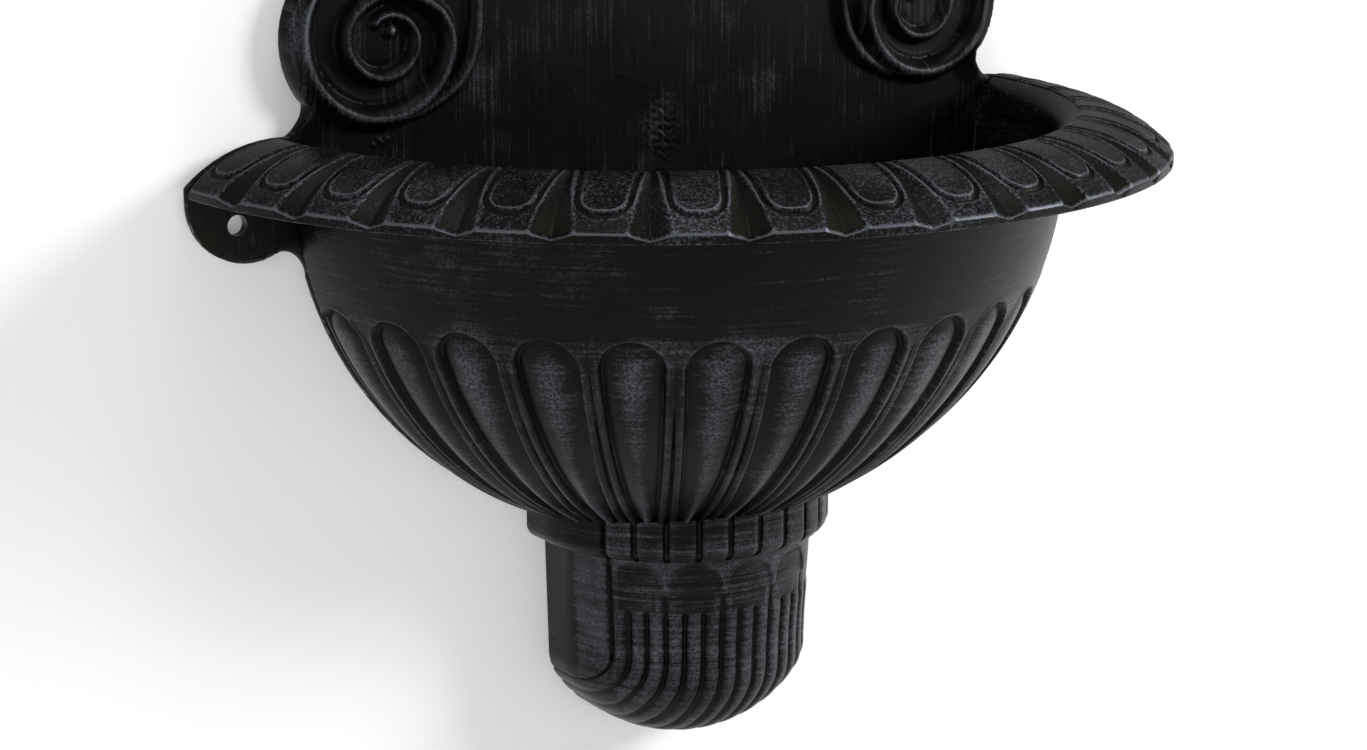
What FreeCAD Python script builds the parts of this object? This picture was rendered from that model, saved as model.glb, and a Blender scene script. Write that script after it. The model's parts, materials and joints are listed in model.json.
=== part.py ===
import FreeCAD, Part
import math
import os

os.makedirs("parts", exist_ok=True)

V = FreeCAD.Vector

# Garden wall fountain, in millimetres.
# X runs along the wall, +Y goes into the wall and +Z is up.
# The origin is on the wall plane, at the middle of the basin, level with the rim's inner crest.

# Basin
bowl_r = 175.0
bowl_depth = 168.0
bowl_fullness = 1.14
bowl_mid_z = -15.0
wall_t = 5.0
floor_t = 10.0
base_rise = 3.0
crest_flare = 4.6
rim_w = 40.4
rim_drop = 16.5
rim_edge_t = 4.0
rim_t = 6.0
rim_mid_in = 1.0
rim_under_in = 31.0
rim_under_sag = 2.8
rim_foot_sag = 2.0
rim_foot_in = 3.5
rim_foot_drop = 4.0
rim_sag_share = 0.22
throat_in = 1.4
throat_share = 0.3125
leaf_count = 19
valley_inner_depth = 0.8
valley_inner_half_w = 1.3
valley_mid_depth = 2.4
valley_mid_half_w = 3.6
valley_edge_depth = 3.7
valley_edge_half_w = 8.0
valley_start = 1.5
valley_over = 3.0
valley_fall = 2.5
valley_lift = 2.0
flute_count = 13
flute_step = 12.0
flute_span = 9.6
flute_round_drop = 67.0
flute_low_rise = 12.0
flute_depth = 2.4
flute_bar_r = 8.2
flute_bar_inset = 5.4
flute_bar_rise = 23.0
flange_w = 13.0
flange_t = 5.0
flange_top_drop = 37.0

# Places of the basin that the other parts follow
bowl_side_r = bowl_depth - bowl_fullness * (bowl_r - bowl_depth)
base_z = bowl_mid_z - bowl_depth + base_rise
floor_z = base_z + floor_t
crest_in_r = bowl_r + crest_flare
rim_r = crest_in_r + rim_w
flange_top_z = bowl_mid_z - flange_top_drop
flute_round_z = bowl_mid_z - flute_round_drop
flute_low_z = base_z + flute_low_rise
flute_bar_low_z = base_z + flute_bar_rise

# Back panel
panel_t = 5.0
panel_crest_in = 4.2
panel_crest_drop = 0.3
panel_under_rim = 0.6
rim_tip_drop = 0.5
waist_in = 10.6
waist_z = 11.0
waist_swell = 1.3
waist_share = 0.45
waist_x = crest_in_r - waist_in
volute_in = 32.6
volute_x = waist_x - volute_in
volute_z = 37.0
volute_r = 42.0
volute_turns = (-34.0, 10.0, 66.0)
volute_leave = (-1.0, 0.35)
volute_ring_r = 34.6
volute_eye_r = 15.5
volute_ring_t = 3.2
volute_boss_r = 6.0
volute_boss_t = 3.0
neck_in = 32.4
neck_x = volute_x - neck_in
neck_z = 196.0
upright = (0.0, 1.0)
shoulder_in = 8.0
shoulder_x = neck_x - shoulder_in
shoulder_z = 292.0
shoulder_r = 27.0
scroll_enter = (0.75, 0.66)
scroll_turns = (-40.0, 20.0, 80.0)
scroll_leave = (-1.0, 0.1)
shoulder_ring_r = 20.0
shoulder_ring_t = 2.6
crest_z = 332.0
crest_r = 54.0
crest_enter = (-0.2, 1.0)
crest_turns = (8.0, 50.0)
shell_lobes = 7
shell_lobe_r = 14.5
shell_spread = 150.0
panel_inset = 1.0

# Ears under the rim ends, and the wall holes
ear_r = 25.5
ear_in = 26.5
ear_drop = 7.0
ear_x = rim_r - ear_in
ear_z = -rim_drop - ear_drop
ear_low_turn = 240.0
ear_web_h = 12.4
ear_web_bulge = 1.2
ear_web_share = 0.3
ear_hole_out = 5.5
ear_hole_drop = 9.5
ear_hole_x = ear_x + ear_hole_out
ear_hole_z = ear_z - ear_hole_drop
wall_hole_r = 4.25
top_hole_x = shoulder_x
top_hole_z = shoulder_z

# Seal between basin and panel
seal_t = 1.5
seal_inset = 1.5
seal_top_drop = 6.0

# Screws through the basin's inner flange
m5_r = 2.5
m5_head_r = 4.9
m5_head_h = 2.6
m5_clear = 0.2
m5_socket_af = 3.0
m5_socket_depth = 1.8
m5_end = 0.6
flange_screw_angles = (18.0, 42.0, 66.0)
washer5_r = 5.5
washer5_t = 1.2
nut5_af = 8.0
nut5_h = 4.0
dome5_r = 3.7
dome5_hole = 1.2

# Bosses and screws under the rim ends
rim_boss_out = 12.0
rim_boss_x = bowl_r + rim_boss_out
rim_boss_z = -14.5
rim_boss_r = 5.5
rim_boss_l = 14.0
rim_screw_l = 16.0
thread_gap = 0.05

# Collar
d_axis_y = 13.6
collar_r = 67.0
collar_up = 14.0
collar_down = 4.0
collar_bevel_h = 3.5
collar_top_z = base_z + collar_up
collar_bottom_z = base_z - collar_down
collar_bevel_z = collar_bottom_z + collar_bevel_h
collar_foot_r = 61.5
collar_wall = 6.0
collar_reach_share = 0.7
collar_slots = 15
slot_step = 12.0
slot_w = 3.6
slot_depth = 2.2
slot_margin_top = 3.0
slot_margin_low = 1.5
slot_top_z = collar_top_z - slot_margin_top
slot_bottom_z = collar_bevel_z + slot_margin_low
seat_gap = 0.2

# Pendant
pendant_r = 58.2
pendant_taper = 1.4
pendant_low_r = pendant_r - pendant_taper
pendant_wall_h = 51.0
pendant_turn_z = collar_bottom_z - pendant_wall_h
pendant_drop = 41.0
pendant_corner_r = 26.0
pendant_t = 4.5
pendant_top_t = 5.0
reed_step = 8.2
reed_grooves = 16
reed_groove_w = 1.6
reed_groove_depth = 1.8
reed_rise = 23.0
reed_fall = 20.0
reed_top_z = pendant_turn_z + reed_rise
reed_low_z = pendant_turn_z - reed_fall

# Screws that hold collar and pendant
hang_x = 36.0
hang_y = 24.0
m6_r = 3.0
m6_clear = 0.3
hang_head_r = 5.5
hang_head_h = 3.3
m6_socket_af = 4.0
m6_socket_depth = 2.0
hang_seal_r = 7.0
hang_seal_t = 1.5
washer6_r = 6.5
washer6_t = 1.6
nut6_af = 10.0
nut6_h = 5.0
screw_end = 3.0

# Drain
drain_y = 36.0
drain_bore_r = 10.0
drain_shank_r = 13.0
drain_hole_gap = 0.5
drain_flange_r = 18.5
drain_flange_t = 2.0
drain_recess = 2.0
gasket_t = 1.0
gasket_gap = 0.2
drain_shank_l = 34.0
strainer_r = 11.5
strainer_t = 1.5
strainer_drop = 3.5
strainer_ring_r = (0.0, 4.2, 8.0)
strainer_hole_r = (1.8, 1.8, 1.4)
strainer_hole_count = (1, 6, 10)
mouth_drop = 1.0
mouth_gap = 1.0
lower_washer_r = 19.0
lower_washer_t = 2.0
locknut_af = 34.0
locknut_h = 8.0
elbow_under = 1.0
elbow_neck = 6.0
elbow_floor = 3.0
elbow_r = 13.0
elbow_bore_r = 9.0
spigot_r = 12.0
spigot_start = 2.0
elbow_bend_r = 15.0
elbow_socket_r = 16.5
elbow_socket_l = 12.0
elbow_gap = 0.1
elbow_out = 20.0
plug_top_r = 12.0
plug_foot_r = 9.4
plug_h = 9.0
plug_depth = 3.5
plug_gap = 0.3
plug_band = 2.0
knob_grip = 5.0
knob_foot_r = 5.0
knob_foot_t = 1.5
knob_stem_r = 2.5
knob_h = 12.0
knob_r = 6.0

# Tap
tap_z = 165.0
tap_out_z = 180.0
tap_chamber_y = 62.0
tap_shank_r = 10.8
inlet_thread_r = 10.45
inlet_start = 1.0
inlet_out = 15.0
tap_bore_r = 5.0
tap_hole_gap = 0.2
bush_t = 2.4
medallion_r = 40.0
medallion_t = 2.5
rosette_r = 27.0
rosette_t = 7.0
rosette_edge_t = 2.0
rosette_front_share = 0.55
tap_nut_af = 27.0
tap_nut_h = 5.0
tap_hex_af = 25.0
tap_hex_l = 8.0
tap_hex_past = 2.0
barrel_r = 11.0
chamber_r = 15.0
chamber_low_z = 151.0
chamber_foot_in = 6.0
chamber_foot_h = 4.0
chamber_top_z = 195.0
chamber_bore_r = 11.0
lower_bore_r = 9.0
lower_floor_z = 157.0
seat_z = 173.0
seat_t = 3.0
seat_hole_r = 5.0
spout_r = 9.0
spout_run = 20.0
spout_bend_r = 22.0
spout_drop = 26.0
nozzle_r = 11.0
nozzle_h = 13.0
nozzle_skirt = 8.0
nozzle_seal_t = 1.0

# Screw-down valve
head_spigot_h = 10.0
head_hex_af = 26.0
head_hex_h = 9.0
head_neck_r = 9.0
head_neck_h = 13.0
head_seal_t = 1.0
head_seal_in = 0.5
spindle_thread_r = 5.0
spindle_stem_r = 4.0
running_gap = 0.05
packing_r = 7.0
packing_h = 5.0
packing_depth = 9.0
thread_below = 6.0
gland_af = 22.0
gland_h = 13.0
gland_lip = 3.0
valve_washer_r = 7.5
valve_washer_t = 3.2
valve_rest_gap = 0.1
carrier_r = 8.0
carrier_t = 2.0
carrier_stem_r = 2.5
carrier_stem_l = 7.0
washer_nut_r = 3.2
carrier_stud_r = 1.5
washer_nut_h = 2.2
spindle_top = 18.0
square_w = 5.6
square_h = 9.0
square_gap = 0.2

# Cross handle
hub_r = 9.0
hub_h = 12.0
arm_count = 4
arm_first = 45.0
arm_r = 3.4
arm_l = 29.0
arm_ball_r = 5.2
handle_screw_r = 2.0
handle_screw_l = 8.0
handle_head_r = 5.0
handle_head_h = 2.6
handle_hole_spare = 0.5
handle_slot_w = 1.2
handle_slot_depth = 1.0

# Places worked out from the sizes above
panel_front = -panel_t
basin_back = -(panel_t + seal_t)
far = 1000.0
tiny = 1e-6

# How far a cutter passes the face it opens, and a length that goes through any wall
past = 1.0
through = 20.0


def save(name, shape):
    shape.exportStep("parts/" + name + ".step")
    print(name, len(shape.Solids), round(shape.Volume / 1000.0, 2), shape.isValid())


def cyl(r, z0, z1, x=0.0, y=0.0):
    return Part.makeCylinder(r, z1 - z0, V(x, y, z0), V(0, 0, 1))


def cone(r0, r1, z0, z1, x=0.0, y=0.0):
    return Part.makeCone(r0, r1, z1 - z0, V(x, y, z0), V(0, 0, 1))


def rod_y(r, y0, y1, x=0.0, z=0.0):
    return Part.makeCylinder(r, y1 - y0, V(x, y0, z), V(0, 1, 0))


def cone_y(r0, r1, y0, y1, x=0.0, z=0.0):
    return Part.makeCone(r0, r1, y1 - y0, V(x, y0, z), V(0, 1, 0))


def box(x0, x1, y0, y1, z0, z1):
    return Part.makeBox(x1 - x0, y1 - y0, z1 - z0, V(x0, y0, z0))


def hex_z(af, z0, z1, x=0.0, y=0.0):
    r = af / math.sqrt(3.0)
    points = [V(x + r * math.cos(math.radians(60 * k)), y + r * math.sin(math.radians(60 * k)), z0)
              for k in range(7)]
    return Part.Face(Part.makePolygon(points)).extrude(V(0, 0, z1 - z0))


def hex_y(af, y0, y1, x=0.0, z=0.0):
    r = af / math.sqrt(3.0)
    points = [V(x + r * math.cos(math.radians(60 * k)), y0, z + r * math.sin(math.radians(60 * k)))
              for k in range(7)]
    return Part.Face(Part.makePolygon(points)).extrude(V(0, y1 - y0, 0))


def both_sides(x):
    return (-x, x)


def line(a, b):
    return Part.LineSegment(V(a[0], 0, a[1]), V(b[0], 0, b[1])).toShape()


def arc(a, m, b):
    return Part.Arc(V(a[0], 0, a[1]), V(m[0], 0, m[1]), V(b[0], 0, b[1])).toShape()


def curve(points, start=None, end=None):
    spline = Part.BSplineCurve()
    places = [V(p[0], 0, p[1]) for p in points]
    if start is None:
        spline.interpolate(places)
    else:
        spline.interpolate(Points=places, InitialTangent=V(start[0], 0, start[1]),
                           FinalTangent=V(end[0], 0, end[1]))
    return spline.toShape()


class Oval:
    # The lower half of an oval section about the Z axis: a side arc that starts upright at
    # its widest, and a second arc that meets it smoothly and ends level on the axis.

    def __init__(self, widest, top_z, depth, side_r):
        across = widest - side_r
        self.side = (across, top_z)
        self.side_r = side_r
        self.foot_r = depth
        self.way_z = 0.0
        if abs(depth - side_r) > tiny:
            self.foot_r = (across ** 2 + depth ** 2 - side_r ** 2) / (2.0 * (depth - side_r))
            self.way_z = (depth - self.foot_r) / (self.foot_r - side_r)
        self.foot = (0.0, top_z - depth + self.foot_r)

    def meet_z(self, off):
        return self.foot[1] + (self.foot_r + off) * self.way_z

    def low_z(self, off=0.0):
        return self.foot[1] - self.foot_r - off

    def x(self, z, off=0.0):
        if z < self.low_z(off) + tiny:
            return 0.0
        centre, r = (self.side, self.side_r) if z > self.meet_z(off) else (self.foot, self.foot_r)
        return centre[0] + math.sqrt(max(0.0, (r + off) ** 2 - (z - centre[1]) ** 2))

    def edges(self, z0, z1, off=0.0):
        # Arcs from the upper height z0 down to z1.
        meet = self.meet_z(off)
        stops = [z0, z1]
        if z0 > meet > z1:
            stops = [z0, meet, z1]
        arcs = []
        for high, low in zip(stops, stops[1:]):
            mid = self.between(high, low, off)
            arcs.append(arc(self.point(high, off), mid, self.point(low, off)))
        return arcs

    def point(self, z, off=0.0):
        return (self.x(z, off), z)

    def between(self, high, low, off):
        middle = (high + low) / 2.0
        on_side = middle > self.meet_z(off)
        centre, r = (self.side, self.side_r) if on_side else (self.foot, self.foot_r)
        a0 = math.atan2(high - centre[1], self.x(high, off) - centre[0])
        a1 = math.atan2(low - centre[1], self.x(low, off) - centre[0])
        return on_circle(centre[0], centre[1], r + off, math.degrees((a0 + a1) / 2.0))


def on_circle(cx, cz, r, degrees):
    a = math.radians(degrees)
    return (cx + r * math.cos(a), cz + r * math.sin(a))


bowl = Oval(bowl_r, bowl_mid_z, bowl_depth, bowl_side_r)
pendant_foot = Oval(pendant_low_r, pendant_turn_z, pendant_drop, pendant_corner_r)


def face_of(edges):
    return Part.Face(Part.Wire(Part.__sortEdges__(edges)))


def half_turn(edges):
    return face_of(edges).revolve(V(0, 0, 0), V(0, 0, -1), 180)


def full_turn(edges, x=0.0, y=0.0):
    shape = face_of(edges).revolve(V(0, 0, 0), V(0, 0, 1), 360)
    shape.translate(V(x, y, 0))
    return shape


def mirror(edges):
    return [e.mirror(V(0, 0, 0), V(1, 0, 0)) for e in edges]


# The wide rim in section, as half of a turned shape: its top, its edge and its underside.
rim_top_mid = ((crest_in_r + rim_r) / 2.0 - rim_mid_in, -rim_sag_share * rim_drop)
rim_edge_z = -(rim_drop + rim_edge_t)
rim_under = (rim_r - rim_under_in, rim_top_mid[1] - rim_t)
throat = (bowl_r - wall_t, bowl_mid_z)


def rim_section():
    edge_in = rim_r - rim_edge_t
    under_mid = ((rim_under[0] + edge_in) / 2.0 - rim_foot_in, rim_under[1] - rim_under_sag)
    foot = (bowl_r, bowl_mid_z - rim_foot_drop)
    return [
        arc((crest_in_r, 0.0), rim_top_mid, (rim_r, -rim_drop)),
        line((rim_r, -rim_drop), (rim_r, rim_edge_z)),
        line((rim_r, rim_edge_z), (edge_in, rim_edge_z)),
        arc((edge_in, rim_edge_z), under_mid, rim_under),
        arc(rim_under, (bowl_r + rim_foot_in, rim_under[1] - rim_foot_sag), foot),
        line(foot, (bowl_r, bowl_mid_z)),
    ]


def bowl_section():
    outer_end = (bowl.x(base_z), base_z)
    inner_end = (bowl.x(floor_z, -wall_t), floor_z)
    return rim_section() + [
        *bowl.edges(bowl_mid_z, base_z),
        line(outer_end, (0.0, base_z)),
        line((0.0, base_z), (0.0, floor_z)),
        line((0.0, floor_z), inner_end),
        *bowl.edges(bowl_mid_z, floor_z, -wall_t),
        arc(throat, (bowl_r - throat_in, bowl_mid_z * throat_share), (crest_in_r, 0.0)),
    ]


def valley_cutter(degrees):
    # A V-shaped valley between two leaves, from the inner crest out over the edge.
    stations = (
        (crest_in_r + valley_start, 0.0, valley_inner_depth, valley_inner_half_w),
        (rim_top_mid[0], rim_top_mid[1], valley_mid_depth, valley_mid_half_w),
        (rim_r, -rim_drop, valley_edge_depth, valley_edge_half_w),
        (rim_r + valley_over, -rim_drop - valley_fall, valley_edge_depth, valley_edge_half_w),
    )
    sections = []
    for r, z, depth, half_w in stations:
        top_w = half_w * (depth + valley_lift) / depth
        low = V(0, -r, z - depth)
        high_z = z + valley_lift
        sections.append(Part.makePolygon([low, V(top_w, -r, high_z), V(-top_w, -r, high_z), low]))
    cutter = Part.makeLoft(sections, True, True)
    cutter.rotate(V(0, 0, 0), V(0, 0, 1), degrees)
    return cutter


def bowl_skin(z0, z1, turn):
    # The bowl's outer skin down to the flutes' depth, as a slice about the Z axis.
    edges = [
        *bowl.edges(z0, z1, past),
        line(bowl.point(z1, past), bowl.point(z1, -flute_depth)),
        *bowl.edges(z0, z1, -flute_depth),
        line(bowl.point(z0, -flute_depth), bowl.point(z0, past)),
    ]
    skin = face_of(edges).revolve(V(0, 0, 0), V(0, 0, 1), turn)
    skin.rotate(V(0, 0, 0), V(0, 0, 1), -90.0 - turn / 2.0)
    return skin


def flute_cutter():
    # One flute: a tapered channel with a round top, round a raised bar that ends in a point.
    round_r = bowl.x(flute_round_z) * math.sin(math.radians(flute_span / 2.0))
    top_z = flute_round_z + round_r
    bar_z = top_z - flute_bar_inset - flute_bar_r
    door = arch(round_r, flute_round_z, [(round_r, flute_low_z), (-round_r, flute_low_z)])
    bar = arch(flute_bar_r, bar_z, [(0.0, flute_bar_low_z)])
    return bowl_skin(top_z + past, flute_low_z, flute_span).common(door).cut(bar)


def arch(r, z, foot):
    # A round-topped block along Y, closed over the points of its foot.
    corners = [(r, z), *foot, (-r, z)]
    sides = [line(a, b) for a, b in zip(corners, corners[1:])]
    return face_of([arc((-r, z), (0.0, z + r), (r, z)), *sides]).extrude(V(0, -far, 0))


def flute_cutters():
    first = flute_cutter()
    cutters = []
    for k in range(flute_count):
        cutter = first.copy()
        cutter.rotate(V(0, 0, 0), V(0, 0, 1), flute_step * (k - (flute_count - 1) / 2.0))
        cutters.append(cutter)
    return cutters


def flange_places():
    # On the middle line of the inner flange, at chosen angles below the level.
    off = -wall_t - flange_w / 2.0
    places = []
    for t in flange_screw_angles:
        z = bowl_mid_z - (bowl_depth + off) * math.sin(math.radians(t))
        x = bowl.x(z, off)
        places += [(x, z), (-x, z)]
    return places


def inner_flange():
    outer = past - wall_t
    inner = -wall_t - flange_w
    low = floor_z - past
    right = [
        *bowl.edges(flange_top_z, low, outer),
        line(bowl.point(flange_top_z, outer), bowl.point(flange_top_z, inner)),
        *bowl.edges(flange_top_z, bowl.low_z(inner), inner),
        line((0.0, bowl.low_z(inner)), (0.0, low)),
        line((0.0, low), bowl.point(low, outer)),
    ]
    half = face_of(right).extrude(V(0, -flange_t, 0))
    half.translate(V(0, basin_back, 0))
    return half.fuse(half.mirror(V(0, 0, 0), V(1, 0, 0))).removeSplitter()


def make_basin():
    shape = half_turn(bowl_section())
    step = 180.0 / leaf_count
    for k in range(1, leaf_count):
        shape = shape.cut(valley_cutter(-90.0 + step * k))
    shape = shape.cut(flute_cutters())
    shape = shape.cut(box(-far, far, basin_back, far, -far, far))
    shape = shape.fuse(inner_flange())
    for x in both_sides(rim_boss_x):
        shape = shape.fuse(rod_y(rim_boss_r, basin_back - rim_boss_l, basin_back, x, rim_boss_z))
    for x in both_sides(rim_boss_x):
        depth = rim_screw_l - panel_t - seal_t + past
        shape = shape.cut(rod_y(m5_r + thread_gap, basin_back - depth, basin_back, x, rim_boss_z))
    for x, z in flange_places():
        shape = shape.cut(rod_y(m5_r + m5_clear, basin_back - flange_t - past, basin_back + past, x, z))
    shape = shape.cut(cyl(drain_shank_r + drain_hole_gap, base_z - past, floor_z + past, 0, -drain_y))
    shape = shape.cut(cyl(drain_flange_r + drain_hole_gap, floor_z - drain_recess, floor_z + past,
                          0, -drain_y))
    for x in both_sides(hang_x):
        shape = shape.cut(cyl(m6_r + m6_clear, base_z - past, floor_z + past, x, -hang_y))
    return shape.removeSplitter()


panel_crest = (crest_in_r - panel_crest_in, -panel_crest_drop)


def below_rim_outline():
    # From the flat at the foot of the basin's rear wall, up the bowl's edge to the ear,
    # round the ear and over the end of the rim.
    off = -panel_inset
    ear_low = on_circle(ear_x, ear_z, ear_r, ear_low_turn)
    ear_out = on_circle(ear_x, ear_z, ear_r, 0.0)
    ear_mid = on_circle(ear_x, ear_z, ear_r, (ear_low_turn + 360.0) / 2.0)
    join_z = ear_low[1] - ear_web_h
    web_z = ear_low[1] - ear_web_h * ear_web_share
    rim_tip = (rim_r - panel_inset, -rim_drop - rim_tip_drop)
    return [
        line((0.0, base_z), (bowl.x(base_z, off), base_z)),
        *bowl.edges(join_z, base_z, off),
        arc((bowl.x(join_z, off), join_z), (bowl.x(web_z, off) + ear_web_bulge, web_z), ear_low),
        arc(ear_low, ear_mid, ear_out),
        line(ear_out, rim_tip),
        arc(rim_tip, (rim_top_mid[0], rim_top_mid[1] - panel_under_rim), panel_crest),
    ]


def upper_outline():
    # The waist above the rim, the volute, the neck, the upper scroll and the arched crest.
    waist = (waist_x, waist_z)
    neck = (neck_x, neck_z)
    volute = [on_circle(volute_x, volute_z, volute_r, turn) for turn in volute_turns]
    scroll = [on_circle(shoulder_x, shoulder_z, shoulder_r, turn) for turn in scroll_turns]
    crest = [on_circle(0.0, crest_z, crest_r, turn) for turn in crest_turns]
    return [
        arc(panel_crest, (waist_x + waist_swell, waist_z * waist_share), waist),
        line(waist, volute[0]),
        arc(*volute),
        curve([volute[-1], neck], volute_leave, upright),
        curve([neck, scroll[0]], upright, scroll_enter),
        arc(*scroll),
        curve([scroll[-1], crest[0]], scroll_leave, crest_enter),
        arc(*crest, (0.0, crest_z + crest_r)),
    ]


def ring_ridge(x, z, r, thick):
    return Part.makeTorus(r, thick, V(x, panel_front, z), V(0, 1, 0))


def make_panel():
    right = below_rim_outline() + upper_outline()
    outline = face_of(right + mirror(right))
    shape = outline.extrude(V(0, -panel_t, 0))
    for k in range(shell_lobes):
        turn = 90.0 + shell_spread * (k / (shell_lobes - 1) - 0.5)
        x, z = on_circle(0.0, crest_z, crest_r, turn)
        shape = shape.fuse(rod_y(shell_lobe_r, panel_front, 0.0, x, z))
    for x in both_sides(volute_x):
        for r in (volute_eye_r, volute_ring_r):
            shape = shape.fuse(ring_ridge(x, volute_z, r, volute_ring_t))
        shape = shape.fuse(rod_y(volute_boss_r, panel_front - volute_boss_t, panel_front + past, x, volute_z))
    for x in both_sides(shoulder_x):
        shape = shape.fuse(ring_ridge(x, shoulder_z, shoulder_ring_r, shoulder_ring_t))
    shape = shape.fuse(rod_y(medallion_r, panel_front - medallion_t, panel_front + past, 0, tap_z))
    shape = shape.cut(rod_y(tap_shank_r + tap_hole_gap + bush_t, -through, past, 0, tap_z))
    for x in both_sides(ear_hole_x):
        shape = shape.cut(rod_y(wall_hole_r, -through, past, x, ear_hole_z))
    for x in both_sides(top_hole_x):
        shape = shape.cut(rod_y(wall_hole_r, -through, past, x, top_hole_z))
    for x, z in flange_places():
        shape = shape.cut(countersink(x, z))
    for x in both_sides(rim_boss_x):
        shape = shape.cut(countersink(x, rim_boss_z))
    return shape.removeSplitter()


def countersink(x, z):
    hole = rod_y(m5_r + m5_clear, -through, past, x, z)
    head_r = m5_head_r + m5_clear
    seat = cone_y(m5_r + m5_clear, head_r, -m5_head_h, 0.0, x, z)
    return hole.fuse(seat)


def countersunk_screw(x, z, length):
    shank = rod_y(m5_r, -length, -m5_head_h, x, z)
    head = cone_y(m5_r, m5_head_r, -m5_head_h, 0.0, x, z)
    socket = hex_y(m5_socket_af, -m5_socket_depth, past, x, z)
    return shank.fuse(head).removeSplitter().cut(socket)


def make_seal():
    # A strip as wide as the basin's rear edge and inner flange together.
    off = -seal_inset
    low = -wall_t - flange_w
    bottom = bowl.low_z(low)
    top_z = bowl_mid_z - seal_top_drop
    right = [
        line((bowl.x(base_z, off), base_z), (0.0, base_z)),
        *bowl.edges(top_z, base_z, off),
        line((bowl.x(top_z, off), top_z), (bowl.x(top_z, -wall_t), top_z)),
        *bowl.edges(top_z, flange_top_z, -wall_t),
        line((bowl.x(flange_top_z, -wall_t), flange_top_z), (bowl.x(flange_top_z, low), flange_top_z)),
        *bowl.edges(flange_top_z, bottom, low),
        line((0.0, bottom), (0.0, base_z)),
    ]
    half = face_of(right).extrude(V(0, -seal_t, 0))
    half.translate(V(0, panel_front, 0))
    strip = half.fuse(half.mirror(V(0, 0, 0), V(1, 0, 0))).removeSplitter()
    for x, z in flange_places():
        strip = strip.cut(rod_y(m5_r + m5_clear, -through, past, x, z))
    return strip


def group(shapes):
    return Part.makeCompound(shapes)


def ring_y(r_out, r_in, y0, y1, x, z):
    return rod_y(r_out, y0, y1, x, z).cut(rod_y(r_in, y0 - past, y1 + past, x, z))


def ring_z(r_out, r_in, z0, z1, x=0.0, y=0.0):
    return cyl(r_out, z0, z1, x, y).cut(cyl(r_in, z0 - past, z1 + past, x, y))


def dome_nut_y(x, z, y_seat):
    hexagon = hex_y(nut5_af, y_seat - nut5_h, y_seat, x, z)
    ball = Part.makeSphere(dome5_r, V(x, y_seat - nut5_h, z))
    behind = box(x - through, x + through, y_seat - nut5_h, y_seat + through, z - through, z + through)
    cap = ball.cut(behind)
    hole = rod_y(m5_r + thread_gap, y_seat - nut5_h - dome5_hole, y_seat + past, x, z)
    return hexagon.fuse(cap).removeSplitter().cut(hole)


# Rear edge of the washer stack on the basin's inner flange
flange_face = basin_back - flange_t
flange_nut_seat = flange_face - washer5_t
flange_screw_l = nut5_h + m5_end - flange_nut_seat

save("back_panel", make_panel())
save("basin", make_basin())
save("basin_seal", make_seal())
save("flange_screws", group([countersunk_screw(x, z, flange_screw_l) for x, z in flange_places()]))
save("flange_washers", group([ring_y(washer5_r, m5_r + m5_clear, flange_nut_seat, flange_face, x, z)
                              for x, z in flange_places()]))
save("flange_nuts", group([dome_nut_y(x, z, flange_nut_seat) for x, z in flange_places()]))
save("rim_screws", group([countersunk_screw(x, rim_boss_z, rim_screw_l) for x in both_sides(rim_boss_x)]))


def d_block(r0, r1, z0, z1):
    # A half-round block against the wall: a half cone about the pendant's axis and the
    # stretch between that axis and the wall.
    front = cone(r0, r1, z0, z1, 0, -d_axis_y) if abs(r0 - r1) > tiny else cyl(r0, z0, z1, 0, -d_axis_y)
    front = front.cut(box(-far, far, -d_axis_y, far, -far, far))
    sides = face_of([line((-r0, z0), (r0, z0)), line((r0, z0), (r1, z1)),
                     line((r1, z1), (-r1, z1)), line((-r1, z1), (-r0, z0))])
    back = sides.extrude(V(0, -d_axis_y, 0))
    return front.fuse(back).removeSplitter()


def around_pendant(degrees, block):
    # Turns a block that lies in front of the pendant's axis to its place round the front.
    turned = block.copy()
    turned.rotate(V(0, -d_axis_y, 0), V(0, 0, 1), degrees)
    return turned


def bowl_body(off):
    # The bowl's lower outside as a whole turned body, a little larger by a clearance.
    top = bowl_mid_z - collar_reach_share * bowl_depth
    edges = [*bowl.edges(top, base_z, off),
             line((bowl.x(base_z, off), base_z), (0.0, base_z)),
             line((0.0, base_z), (0.0, top)),
             line((0.0, top), (bowl.x(top, off), top))]
    return full_turn(edges)


def make_collar():
    outer = d_block(collar_foot_r, collar_r, collar_bottom_z, collar_bevel_z)
    outer = outer.fuse(d_block(collar_r, collar_r, collar_bevel_z, collar_top_z)).removeSplitter()
    inner_r = collar_foot_r - collar_wall
    room = d_block(inner_r, inner_r, base_z, collar_top_z + past)
    shape = outer.cut(room)
    shape = shape.cut(bowl_body(seat_gap))
    for k in range(collar_slots):
        front = -d_axis_y - collar_r
        cutter = box(-slot_w / 2, slot_w / 2, front - past, front + slot_depth, slot_bottom_z, slot_top_z)
        shape = shape.cut(around_pendant(slot_step * (k - (collar_slots - 1) / 2), cutter))
    shape = shape.cut(cyl(drain_shank_r + drain_hole_gap, collar_bottom_z - past, base_z + past, 0, -drain_y))
    for x in both_sides(hang_x):
        shape = shape.cut(cyl(m6_r + m6_clear, collar_bottom_z - past, base_z + past, x, -hang_y))
    return shape.removeSplitter()


def pendant_profile(off, top_z):
    # Half section about the pendant's axis: a slightly tapered wall and a rounded foot.
    low = pendant_foot.low_z(-off)
    return [
        line((0.0, top_z), (pendant_r - off, top_z)),
        line((pendant_r - off, top_z), pendant_foot.point(pendant_turn_z, -off)),
        *pendant_foot.edges(pendant_turn_z, low, -off),
        line((0.0, low), (0.0, top_z)),
    ]


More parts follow.
